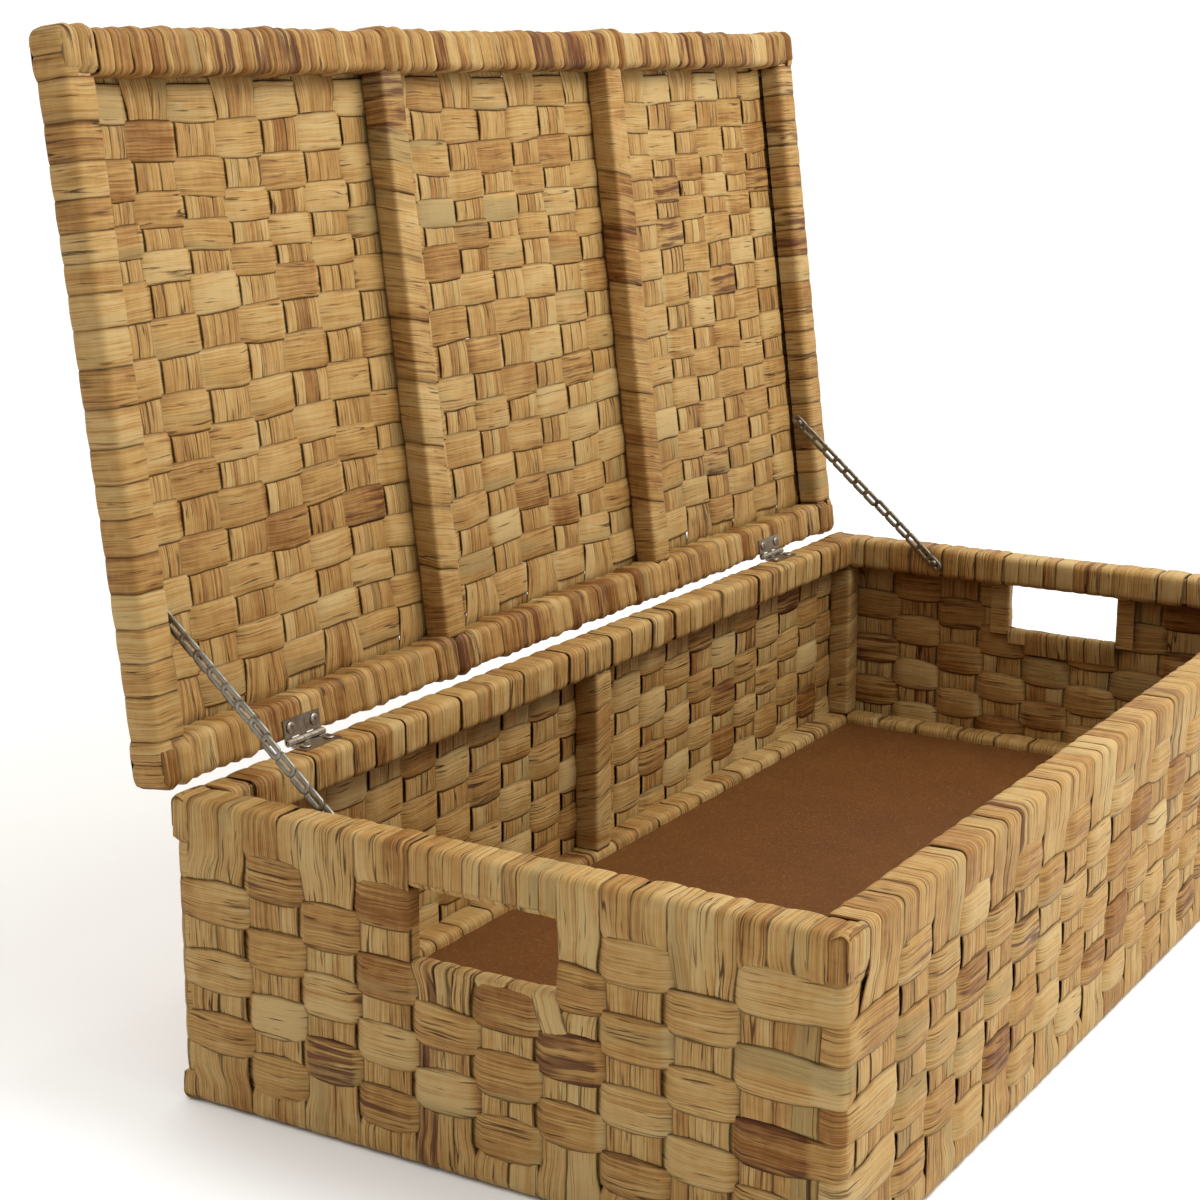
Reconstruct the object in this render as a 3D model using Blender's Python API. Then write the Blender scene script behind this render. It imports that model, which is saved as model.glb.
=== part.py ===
"""Woven underbed storage box: a wrapped timber frame, four woven walls and a woven lid on two butt hinges.

Metres, +Z up. X runs along the box, -Y is its front, and the origin is on the floor under its middle.
The lid stands open, as far as its two stay chains let it go. Lid pieces are modelled closed,
as children of an empty on the hinge line that opens them.
"""

import math

import bmesh
import bpy
from mathutils import Matrix, Vector

# Overall sizes, over the weave
BOX_LENGTH = 0.800
BOX_DEPTH = 0.388
BOX_HEIGHT = 0.170
LID_THICKNESS = 0.022

# Fits
FIT = 0.0003  # between pieces that touch
TUCK_SLIT = 0.0004  # where the end of a wrapping strip is tucked in against the weave

# Leaf strips and weave
STRIP = 0.002  # one strip, as wrapped round a rail
PANEL = 0.0045  # two strips, one over the other
PILLOW = 0.0015  # how far a strip stands up where it passes over
PILLOW_SLOPE = 0.004  # how far in from its edge it takes to stand up
WARP_PITCH = 0.0352  # upright strips
WEFT_PITCH = 0.0187  # strips along the wall
WEAVE_FOOT = 0.017  # floor up to the lowest strip along the wall
CORNER_RUN = 0.020  # corner of the box to the nearest upright strip
ROUNDING = 0.004  # of the wrapped rails
ROUNDING_STEPS = 2

# Frame
RAIL_WIDTH = 0.022
RIM_HEIGHT = 0.022
BASE_RAIL_HEIGHT = 0.025
LEDGE_WIDTH = 0.008  # rebate that the bottom board lies on
MID_POST_WIDTH = 0.018
BATTEN_WIDTH = 0.020
BATTEN_SPACING = 0.256  # between the two lid battens
POST_ROUNDING = 0.003
POST_ROUNDING_STEPS = 2

# Bottom
BOARD_THICKNESS = 0.003
BOARD_LEVEL = 0.019  # its top
CROSS_RAIL_WIDTH = 0.030

# Hand holes
HOLE_WIDTH = 0.086
HOLE_HEIGHT = 0.038
HOLE_FRAME = 0.006  # bar round the hole
HOLE_FRAME_DEPTH = 0.0095

# Hinges
LID_OPEN = math.radians(97.0)
HINGE_INSET = 0.114  # from the end of the box to the hinge's middle
HINGE_WIDTH = 0.032
HINGE_SETBACK = 0.0013  # pin line behind the back of the box
LEAF_REACH = 0.013  # pin line to the edge of a leaf
LEAF_THICKNESS = 0.0009
KNUCKLE_RADIUS = 0.0022
KNUCKLES = 5
KNUCKLE_STEPS = 7
KNUCKLE_TURN = math.radians(285.0)  # how far a knuckle is rolled round its pin
HINGE_SCREW_SPACING = 0.021
HINGE_SCREW_REACH = 0.0080  # pin line to the screws
HINGE_SCREW_HEAD = 0.0025  # radius
HINGE_SCREW_RISE = 0.0009
HINGE_SCREW_SHANK = 0.0012  # radius
HINGE_SCREW_LENGTH = 0.010

# Stay chains
CHAIN_BOX_REACH = 0.095  # pin line to the screw in the box, along Y
CHAIN_BOX_DROP = 0.0110  # top of the rim down to that screw
CHAIN_LID_REACH = 0.0895  # pin line to the screw in the lid, along the lid
CHAIN_LID_RISE = 0.0090  # underside of the lid up to that screw
LOWER_LINKS = 6
UPPER_LINKS = 8
LINK_BAR = 0.0017
LINK_WIDTH = 0.0066
LINK_ROUNDING = 0.33  # corner radius, as a share of the width
LINK_THICKNESS = 0.0010
LINK_TILT = 0.0004  # each end of a link stands this far off the chain's plane
CHAIN_SCREW_HEAD = 0.0026
CHAIN_SCREW_RISE = 0.0016
CHAIN_SCREW_SHANK = 0.00135
CHAIN_SCREW_LENGTH = 0.011  # in the rail

SCREW_SIDES = 8
HEAD_WALL = 0.33  # height of a screw head's upright edge, as a share of the head's
HEAD_SHOULDER = 0.85  # height at the edge of its crown, as a share of the head's
HEAD_CROWN = 0.70  # radius of its crown, as a share of the head's

# Drawing
SHARP_EDGE = math.radians(35.0)  # edges that turn by more than this stay crisp
FLAT_TILT = math.radians(8.0)  # a flat face looks the way that it should to within this

# Levels and lines that follow
RIM_LEVEL = BOX_HEIGHT - RIM_HEIGHT
LEDGE_LEVEL = BOARD_LEVEL - BOARD_THICKNESS - FIT
CLOSED_GAP = 2 * (KNUCKLE_RADIUS + FIT)  # rim to closed lid
PIN_Y = BOX_DEPTH / 2 + HINGE_SETBACK
PIN_Z = BOX_HEIGHT + CLOSED_GAP / 2
LID_LEVEL = BOX_HEIGHT + CLOSED_GAP
CHAIN_LID_HEIGHT = LID_LEVEL + CHAIN_LID_RISE - PIN_Z  # pin line up to the screw in the closed lid
POST_SIDE = RAIL_WIDTH - PANEL - 2 * FIT

LEAF_TAN = ("woven leaf", (0.55, 0.36, 0.16), 0.75, 0.0)
TIMBER = ("frame timber", (0.60, 0.45, 0.28), 0.70, 0.0)
HARDBOARD = ("hardboard", (0.16, 0.07, 0.03), 0.65, 0.0)
BRIGHT_STEEL = ("bright steel", (0.60, 0.59, 0.57), 0.30, 1.0)
DULL_BRONZE = ("dull bronze", (0.30, 0.25, 0.18), 0.40, 1.0)


def clear_scene():
    for item in list(bpy.data.objects):
        bpy.data.objects.remove(item, do_unlink=True)


def finish_material(node, finish):
    name, colour, roughness, metallic = finish
    material = bpy.data.materials.new(f"{name} {node}")
    material.use_nodes = True
    shader = material.node_tree.nodes["Principled BSDF"]
    shader.inputs["Base Color"].default_value = (*colour, 1.0)
    shader.inputs["Roughness"].default_value = roughness
    shader.inputs["Metallic"].default_value = metallic
    return material


def add_piece(name, shape, finish, location=(0, 0, 0), rotation=(0, 0, 0), parent=None):
    """Turns a bmesh into a named object, with faces out and flat or smooth as its edges ask."""
    bmesh.ops.recalc_face_normals(shape, faces=shape.faces)
    mesh = bpy.data.meshes.new(name)
    shape.to_mesh(mesh)
    shape.free()
    mesh.materials.append(finish_material(name, finish))
    mesh.shade_smooth()
    mesh.set_sharp_from_angle(angle=SHARP_EDGE)
    piece = bpy.data.objects.new(name, mesh)
    bpy.context.collection.objects.link(piece)
    piece.parent = parent
    piece.location = location
    piece.rotation_euler = rotation
    return piece


def add_empty(name, location, rotation):
    empty = bpy.data.objects.new(name, None)
    bpy.context.collection.objects.link(empty)
    empty.location = location
    empty.rotation_euler = rotation
    return empty


def add_cutter(name, shape, location, rotation, parent):
    cutter = add_piece(name, shape, TIMBER, location, rotation, parent)
    cutter.hide_render = True
    cutter.display_type = "WIRE"
    return cutter


def cut_away(piece, cutter):
    modifier = piece.modifiers.new(f"cut by {cutter.name}", "BOOLEAN")
    modifier.operation = "DIFFERENCE"
    modifier.object = cutter


def arc(centre, radius, start, end, steps):
    """Points of an arc in a plane, angles in degrees."""
    angles = [math.radians(start + (end - start) * step / steps) for step in range(steps + 1)]
    return [(centre[0] + radius * math.cos(a), centre[1] + radius * math.sin(a)) for a in angles]


def lofted(rings, capped=True):
    """Skins rings of points in order, all with as many points, and closes the two ends."""
    shape = bmesh.new()
    rows = [[shape.verts.new(point) for point in ring] for ring in rings]
    for low, high in zip(rows, rows[1:]):
        for index in range(len(low)):
            after = (index + 1) % len(low)
            shape.faces.new((low[index], low[after], high[after], high[index]))
    if capped:
        shape.faces.new(reversed(rows[0]))
        shape.faces.new(rows[-1])
    return shape


def box_between(low, high):
    corners = [(low[0], low[1]), (high[0], low[1]), (high[0], high[1]), (low[0], high[1])]
    return lofted([[(x, y, z) for x, y in corners] for z in (low[2], high[2])])


def rounded_outline(width, depth, radius, steps):
    """Rounded rectangle about the origin."""
    x = width / 2 - radius
    y = depth / 2 - radius
    turns = [((x, y), 0), ((-x, y), 90), ((-x, -y), 180), ((x, -y), 270)]
    return [point for centre, start in turns for point in arc(centre, radius, start, start + 90, steps)]


def turned(profile, sides):
    """Turns (radius, height) points about Z, from the bottom up. The first and last are on the axis."""
    shape = bmesh.new()
    foot = shape.verts.new((0, 0, profile[0][1]))
    crown = shape.verts.new((0, 0, profile[-1][1]))
    rows = []
    for radius, height in profile[1:-1]:
        points = arc((0, 0), radius, 0, 360, sides)[:-1]
        rows.append([shape.verts.new((x, y, height)) for x, y in points])
    for index in range(sides):
        after = (index + 1) % sides
        shape.faces.new((foot, rows[0][after], rows[0][index]))
        for low, high in zip(rows, rows[1:]):
            shape.faces.new((low[index], low[after], high[after], high[index]))
        shape.faces.new((rows[-1][index], rows[-1][after], crown))
    return shape


def mitred_bar(outline, half_length):
    """Runs an outline of (depth, height) points along X, mitred at both ends from the outer face in."""
    rings = []
    for side in (-1, 1):
        rings.append([(side * (half_length - depth - FIT), depth, height) for depth, height in outline])
    return lofted(rings)


def weave_over(shape, is_ground, columns, rows, first_over, skips_cell=lambda centre: False):
    """Divides a flat ground face into cells and raises every other one, as strips that pass over.

    Columns and rows are each an axis, a count and how far from the face's edge they start.
    The first cell of all is raised where first_over is 0, and the ones beside it where it is 1.
    """

    def ground():
        return [face for face in shape.faces if is_ground(face)]

    corners = [vert.co for face in ground() for vert in face.verts]
    spans = []
    for axis, count, margin in (columns, rows):
        low = min(corner[axis] for corner in corners) + margin
        high = max(corner[axis] for corner in corners) - margin
        spans.append((axis, low, (high - low) / count, count, margin))
    for axis, low, pitch, count, margin in spans:
        normal = Vector((0, 0, 0))
        normal[axis] = 1
        first = 0 if margin > 0 else 1  # the face's own edge needs no cut
        for step in range(first, count + 1 - first):
            faces = ground()
            edges = list({edge for face in faces for edge in face.edges})
            verts = list({vert for face in faces for vert in face.verts})
            spot = normal * (low + pitch * step)
            bmesh.ops.bisect_plane(shape, geom=faces + edges + verts, plane_co=spot, plane_no=normal)
    raised = []
    for face in ground():
        centre = face.calc_center_median()
        cell = [math.floor((centre[axis] - low) / pitch) for axis, low, pitch, count, margin in spans]
        inside = all(0 <= place < span[3] for place, span in zip(cell, spans))
        if inside and sum(cell) % 2 == first_over and not skips_cell(centre):
            raised.append(face)
    bmesh.ops.inset_individual(shape, faces=raised, thickness=PILLOW_SLOPE, depth=PILLOW)


def wall_outline():
    """Section of a woven wall: the panel, wrapped over the top rail and round the rebated bottom rail."""
    inner = RAIL_WIDTH - STRIP
    ledge = RAIL_WIDTH + LEDGE_WIDTH
    tuck = PANEL + TUCK_SLIT
    near = ROUNDING
    far = RAIL_WIDTH - ROUNDING
    steps = ROUNDING_STEPS
    rim = arc((near, BOX_HEIGHT - near), ROUNDING, 180, 90, steps)
    rim += arc((far, BOX_HEIGHT - near), ROUNDING, 90, 0, steps)
    rim += arc((far, RIM_LEVEL + near), ROUNDING, 0, -90, steps)
    rim_bore = [(tuck, RIM_LEVEL), (tuck, RIM_LEVEL + STRIP), (inner, RIM_LEVEL + STRIP)]
    rim_bore += [(inner, BOX_HEIGHT - STRIP), (STRIP, BOX_HEIGHT - STRIP), (STRIP, RIM_LEVEL + STRIP)]
    panel_back = [(PANEL, RIM_LEVEL + STRIP), (PANEL, BASE_RAIL_HEIGHT - STRIP)]
    behind = PILLOW + STRIP
    base_bore = [(behind, BASE_RAIL_HEIGHT - STRIP), (behind, STRIP), (ledge - STRIP, STRIP)]
    base_bore += [(ledge - STRIP, LEDGE_LEVEL - STRIP), (inner, LEDGE_LEVEL - STRIP)]
    base_bore += [(inner, BASE_RAIL_HEIGHT - STRIP), (tuck, BASE_RAIL_HEIGHT - STRIP)]
    base_bore += [(tuck, BASE_RAIL_HEIGHT)]
    base = arc((far, BASE_RAIL_HEIGHT - near), ROUNDING, 90, 0, steps)
    base += [(RAIL_WIDTH, LEDGE_LEVEL), (ledge, LEDGE_LEVEL)]
    base += arc((ledge - near, near), ROUNDING, 0, -90, steps)
    base += arc((near, near), ROUNDING, -90, -180, steps)
    panel_front = [(0, WEAVE_FOOT), (PILLOW, WEAVE_FOOT + PILLOW)]
    panel_front += [(PILLOW, RIM_LEVEL - PILLOW), (0, RIM_LEVEL)]
    return panel_front + rim + rim_bore + panel_back + base_bore + base


def woven_wall(half_length, has_hand_hole):
    shape = mitred_bar(wall_outline(), half_length)
    bmesh.ops.recalc_face_normals(shape, faces=shape.faces)
    columns = (0, round(2 * (half_length - CORNER_RUN) / WARP_PITCH), CORNER_RUN)
    rows = (2, round((RIM_LEVEL - WEAVE_FOOT) / WEFT_PITCH), 0)

    def is_ground(face):
        centre = face.calc_center_median()
        return face.normal.y < -math.cos(FLAT_TILT) and abs(centre.y - PILLOW) < FIT

    def skips_cell(centre):
        beside = abs(centre.x) < HOLE_WIDTH / 2 + HOLE_FRAME + WARP_PITCH / 2
        above = centre.z > RIM_LEVEL - HOLE_HEIGHT - HOLE_FRAME - WEFT_PITCH / 2
        return has_hand_hole and beside and above

    weave_over(shape, is_ground, columns, rows, 1, skips_cell)
    return shape


def top_rail_outline():
    low = STRIP + FIT
    high = RAIL_WIDTH - STRIP - FIT
    foot = RIM_LEVEL + STRIP + FIT
    top = BOX_HEIGHT - STRIP - FIT
    return [(low, foot), (high, foot), (high, top), (low, top)]


def bottom_rail_outline():
    near = PILLOW + STRIP + FIT
    far = RAIL_WIDTH - STRIP - FIT
    ledge = RAIL_WIDTH + LEDGE_WIDTH - STRIP - FIT
    foot = STRIP + FIT
    step = LEDGE_LEVEL - STRIP - FIT
    top = BASE_RAIL_HEIGHT - STRIP - FIT
    return [(near, foot), (ledge, foot), (ledge, step), (far, step), (far, top), (near, top)]


def lid_rail_outline():
    low = STRIP + FIT
    high = RAIL_WIDTH - STRIP - FIT
    top = LID_THICKNESS - PANEL - FIT
    return [(low, low), (high, low), (high, top), (low, top)]


def lid_skin():
    """Woven lid: a flat panel whose strips are wrapped under the lid rails and tucked in behind them."""
    top = LID_THICKNESS
    inner = RAIL_WIDTH - STRIP
    under = top - PANEL
    near = ROUNDING
    steps = ROUNDING_STEPS
    section = [(RAIL_WIDTH + PILLOW, top - PILLOW), (RAIL_WIDTH, top)]
    section += arc((near, top - near), ROUNDING, 90, 180, steps)
    section += arc((near, near), ROUNDING, 180, 270, steps)
    section += arc((RAIL_WIDTH - near, near), ROUNDING, 270, 360, steps)
    section += [(RAIL_WIDTH, under - TUCK_SLIT), (inner, under - TUCK_SLIT)]
    section += [(inner, STRIP), (STRIP, STRIP), (STRIP, under)]
    rings = []
    for depth, height in section:
        x = BOX_LENGTH / 2 - depth
        y = BOX_DEPTH / 2 - depth
        rings.append([(-x, -y, height), (x, -y, height), (x, y, height), (-x, y, height)])
    shape = lofted(rings)
    bmesh.ops.recalc_face_normals(shape, faces=shape.faces)
    columns = round((BOX_LENGTH - 2 * RAIL_WIDTH) / WARP_PITCH)
    rows = round((BOX_DEPTH - 2 * RAIL_WIDTH) / WEFT_PITCH)
    hidden = RAIL_WIDTH - STRIP + FIT  # edge of the underside that lies on the rails

    def is_top(face):
        return face.normal.z > math.cos(FLAT_TILT) and abs(face.calc_center_median().z - (top - PILLOW)) < FIT

    def is_underside(face):
        return face.normal.z < -math.cos(FLAT_TILT) and abs(face.calc_center_median().z - under) < FIT / 2

    weave_over(shape, is_top, (0, columns, 0), (1, rows, 0), 0)
    weave_over(shape, is_underside, (0, columns, hidden), (1, rows, hidden), 1)
    return shape


def wrapped_tube(width, depth, length):
    """Strip wound round a bar: a tube of one strip's thickness, standing along Z."""
    outer = rounded_outline(width, depth, POST_ROUNDING, POST_ROUNDING_STEPS)
    bore_rounding = POST_ROUNDING - STRIP
    inner = rounded_outline(width - 2 * STRIP, depth - 2 * STRIP, bore_rounding, POST_ROUNDING_STEPS)
    loops = [(outer, 0), (outer, length), (inner, length), (inner, 0), (outer, 0)]
    shape = lofted([[(x, y, z) for x, y in loop] for loop, z in loops], capped=False)
    bmesh.ops.remove_doubles(shape, verts=shape.verts, dist=FIT / 10)
    return shape


def bar_core(width, depth, length):
    x = width / 2 - STRIP - FIT
    y = depth / 2 - STRIP - FIT
    return box_between((-x, -y, 0), (x, y, length))


def hand_hole_frame():
    """Three-sided bar that the strips turn round at a hand hole, its top ends against the rim."""
    half = HOLE_WIDTH / 2
    top = RIM_LEVEL - FIT
    sill = RIM_LEVEL - HOLE_HEIGHT
    outer = [(-half - HOLE_FRAME, top), (-half - HOLE_FRAME, sill - HOLE_FRAME)]
    outer += [(half + HOLE_FRAME, sill - HOLE_FRAME), (half + HOLE_FRAME, top)]
    inner = [(half, top), (half, sill), (-half, sill), (-half, top)]
    front = FIT
    return lofted([[(x, y, z) for x, z in outer + inner] for y in (front, front + HOLE_FRAME_DEPTH)])


def hand_hole_cutter():
    half = HOLE_WIDTH / 2 + HOLE_FRAME + FIT
    sill = RIM_LEVEL - HOLE_HEIGHT - HOLE_FRAME - FIT
    return box_between((-half, -PANEL, sill), (half, PANEL + TUCK_SLIT / 2, RIM_LEVEL))


def hinge_leaf(own_knuckles):
    """Leaf lying forward of the pin line and below it, with its own share of the rolled knuckles."""
    pitch = HINGE_WIDTH / KNUCKLES
    low = -KNUCKLE_RADIUS
    high = low + LEAF_THICKNESS
    edge = -KNUCKLE_RADIUS - FIT
    stations = []
    for index in own_knuckles:
        start = -HINGE_WIDTH / 2 + index * pitch
        first = start if index == 0 else start + FIT / 2
        last = start + pitch if index == KNUCKLES - 1 else start + pitch - FIT / 2
        stations.append((first, last))
    shape = bmesh.new()

    def ring(x, points):
        return [shape.verts.new((x, y, z)) for y, z in points]

    turn = math.degrees(KNUCKLE_TURN)
    outer_roll = arc((0, 0), KNUCKLE_RADIUS, -90, -90 + turn, KNUCKLE_STEPS)
    inner_roll = arc((0, 0), KNUCKLE_RADIUS - LEAF_THICKNESS, -90, -90 + turn, KNUCKLE_STEPS)
    under_edge = []
    upper_edge = []
    for first, last in stations:
        unders = [ring(x, [(edge, low)] + outer_roll) for x in (first, last)]
        uppers = [ring(x, [(edge, high)] + inner_roll) for x in (first, last)]
        for index in range(len(outer_roll)):
            after = index + 1
            shape.faces.new((unders[0][index], unders[1][index], unders[1][after], unders[0][after]))
            shape.faces.new((uppers[0][index], uppers[0][after], uppers[1][after], uppers[1][index]))
            for under, upper in zip(unders, uppers):
                shape.faces.new((under[index], under[after], upper[after], upper[index]))
        shape.faces.new((unders[0][-1], unders[1][-1], uppers[1][-1], uppers[0][-1]))
        under_edge += [unders[0][0], unders[1][0]]
        upper_edge += [uppers[0][0], uppers[1][0]]
    half = HINGE_WIDTH / 2
    if stations[0][0] > -half:
        under_edge.insert(0, shape.verts.new((-half, edge, low)))
        upper_edge.insert(0, shape.verts.new((-half, edge, high)))
        under_edge.append(shape.verts.new((half, edge, low)))
        upper_edge.append(shape.verts.new((half, edge, high)))
        open_runs = range(0, len(under_edge) - 1, 2)
    else:
        open_runs = range(1, len(under_edge) - 1, 2)
    for index in open_runs:
        after = index + 1
        shape.faces.new((under_edge[index], under_edge[after], upper_edge[after], upper_edge[index]))
    far_under = [shape.verts.new((x, -LEAF_REACH, low)) for x in (-half, half)]
    far_upper = [shape.verts.new((x, -LEAF_REACH, high)) for x in (-half, half)]
    shape.faces.new([far_under[1], far_under[0]] + under_edge)
    shape.faces.new([far_upper[1], far_upper[0]] + upper_edge)
    shape.faces.new((far_under[0], far_under[1], far_upper[1], far_upper[0]))
    shape.faces.new((far_under[0], far_upper[0], upper_edge[0], under_edge[0]))
    shape.faces.new((far_under[1], far_upper[1], upper_edge[-1], under_edge[-1]))
    return shape


def hinge_pin():
    radius = KNUCKLE_RADIUS - LEAF_THICKNESS - FIT
    half = HINGE_WIDTH / 2
    dome = radius / 2
    profile = [(0, -half), (radius - dome, -half), (radius, -half + dome), (radius, half - dome)]
    profile += [(radius - dome, half), (0, half)]
    return turned(profile, SCREW_SIDES)


def screw(head, rise, shank, neck, length):
    """Pan-head screw along Z: its head's underside is at 0, its neck and shank below."""
    foot = -neck - length
    point = 2 * shank
    profile = [(0, foot), (shank, foot + point), (shank, 0), (head, 0)]
    profile += [(head, rise * HEAD_WALL), (head * HEAD_CROWN, rise * HEAD_SHOULDER), (0, rise)]
    return turned(profile, SCREW_SIDES)


def screw_bore(shank, neck, length):
    radius = shank + FIT
    profile = [(0, -neck - length - FIT), (radius, -neck - length - FIT), (radius, FIT), (0, FIT)]
    return turned(profile, SCREW_SIDES)


def chain_strand(links, pitch):
    """Flat links along +Z, the first centred on the pivot, each joined to the one that it passes over."""
    length = pitch + 2 * LINK_BAR
    window = LINK_WIDTH - 2 * LINK_BAR
    outer = rounded_outline(LINK_WIDTH, length, LINK_ROUNDING * LINK_WIDTH, 1)
    inner = rounded_outline(window, length - 2 * LINK_BAR, LINK_ROUNDING * window, 1)
    tilt = math.atan2(2 * LINK_TILT, length)
    half = LINK_THICKNESS / 2
    whole = None
    for index in range(links):
        loops = [(outer, -half), (outer, half), (inner, half), (inner, -half), (outer, -half)]
        link = lofted([[(x, y, z) for y, z in loop] for loop, x in loops], capped=False)
        bmesh.ops.remove_doubles(link, verts=link.verts, dist=FIT / 10)
        place = Matrix.Translation((0, 0, index * pitch)) @ Matrix.Rotation(tilt, 4, "Y")
        bmesh.ops.transform(link, matrix=place, verts=link.verts)
        whole = link if whole is None else united(whole, link)
    return whole


def united(first, second):
    """Boolean union of two closed shapes."""
    holders = []
    for shape in (first, second):
        bmesh.ops.recalc_face_normals(shape, faces=shape.faces)
        mesh = bpy.data.meshes.new("union operand")
        shape.to_mesh(mesh)
        shape.free()
        holder = bpy.data.objects.new("union operand", mesh)
        bpy.context.collection.objects.link(holder)
        holders.append(holder)
    modifier = holders[0].modifiers.new("union", "BOOLEAN")
    modifier.operation = "UNION"
    modifier.object = holders[1]
    bpy.context.view_layer.update()
    result = bmesh.new()
    result.from_object(holders[0], bpy.context.evaluated_depsgraph_get())
    for holder in holders:
        bpy.data.objects.remove(holder, do_unlink=True)
    return result


def wall_places():
    """Name, half length, location and turn about Z of the four sides, each built facing -Y."""
    half_x = BOX_LENGTH / 2
    half_y = BOX_DEPTH / 2
    return [
        ("front", half_x, (0, -half_y), 0.0),
        ("back", half_x, (0, half_y), math.pi),
        ("left", half_y, (-half_x, 0), -math.pi / 2),
        ("right", half_y, (half_x, 0), math.pi / 2),
    ]


def build_box_frame():
    rails = {}
    for side, half, (x, y), turn in wall_places():
        place = {"location": (x, y, 0), "rotation": (0, 0, turn)}
        rails[side] = add_piece(f"{side}_top_rail", mitred_bar(top_rail_outline(), half), TIMBER, **place)
        add_piece(f"{side}_bottom_rail", mitred_bar(bottom_rail_outline(), half), TIMBER, **place)
    foot = BASE_RAIL_HEIGHT + FIT
    height = RIM_LEVEL - FIT - foot
    inset = PANEL + FIT + POST_SIDE / 2
    posts = []
    for across, x in (("left", -BOX_LENGTH / 2 + inset), ("right", BOX_LENGTH / 2 - inset)):
        for along, y in (("front", -BOX_DEPTH / 2 + inset), ("back", BOX_DEPTH / 2 - inset)):
            posts.append((f"{along}_{across}_post", POST_SIDE, x, y))
    for along, y in (("front", -BOX_DEPTH / 2 + inset), ("back", BOX_DEPTH / 2 - inset)):
        posts.append((f"{along}_mid_post", MID_POST_WIDTH, 0, y))
    for name, width, x, y in posts:
        add_piece(name, bar_core(width, POST_SIDE, height), TIMBER, (x, y, foot))
        add_piece(f"{name}_wrap", wrapped_tube(width, POST_SIDE, height), LEAF_TAN, (x, y, foot))
    return rails


def build_box_walls():
    walls = {}
    for side, half, (x, y), turn in wall_places():
        is_end = side in ("left", "right")
        name = f"{side}_woven_end" if is_end else f"{side}_woven_wall"
        place = {"location": (x, y, 0), "rotation": (0, 0, turn)}
        walls[side] = add_piece(name, woven_wall(half, is_end), LEAF_TAN, **place)
        if is_end:
            cutter = add_cutter(f"{side} hand hole cutter", hand_hole_cutter(), parent=None, **place)
            cut_away(walls[side], cutter)
            add_piece(f"{side}_hand_hole_frame", hand_hole_frame(), LEAF_TAN, **place)
    return walls


def build_bottom():
    half_x = BOX_LENGTH / 2 - RAIL_WIDTH - FIT
    half_y = BOX_DEPTH / 2 - RAIL_WIDTH - FIT
    low = BOARD_LEVEL - BOARD_THICKNESS
    add_piece("bottom_board", box_between((-half_x, -half_y, low), (half_x, half_y, BOARD_LEVEL)), HARDBOARD)
    reach = BOX_DEPTH / 2 - RAIL_WIDTH - LEDGE_WIDTH - FIT
    half = CROSS_RAIL_WIDTH / 2
    add_piece("bottom_cross_rail", box_between((-half, -reach, 0), (half, reach, LEDGE_LEVEL)), TIMBER)


def build_lid(hinge_line):
    """Lid pieces are placed from the pin line, with the lid closed."""
    floor = LID_LEVEL - PIN_Z
    rails = {}
    for side, half, (x, y), turn in wall_places():
        shape = mitred_bar(lid_rail_outline(), half)
        spot = (x, y - PIN_Y, floor)
        rails[side] = add_piece(f"lid_{side}_rail", shape, TIMBER, spot, (0, 0, turn), hinge_line)
    skin = add_piece("lid_woven_top", lid_skin(), LEAF_TAN, (0, -PIN_Y, floor), parent=hinge_line)
    depth = LID_THICKNESS - PANEL - PILLOW - FIT  # the battens lie on the strips that pass over
    length = BOX_DEPTH - 2 * RAIL_WIDTH - 2 * FIT
    for across, x in (("left", -BATTEN_SPACING / 2), ("right", BATTEN_SPACING / 2)):
        spot = (x, length / 2 - PIN_Y, floor + depth / 2)
        turn = (math.pi / 2, 0, 0)
        name = f"lid_{across}_batten"
        add_piece(name, bar_core(BATTEN_WIDTH, depth, length), TIMBER, spot, turn, hinge_line)
        wrap = wrapped_tube(BATTEN_WIDTH, depth, length)
        add_piece(f"{name}_wrap", wrap, LEAF_TAN, spot, turn, hinge_line)
    return rails, skin


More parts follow.
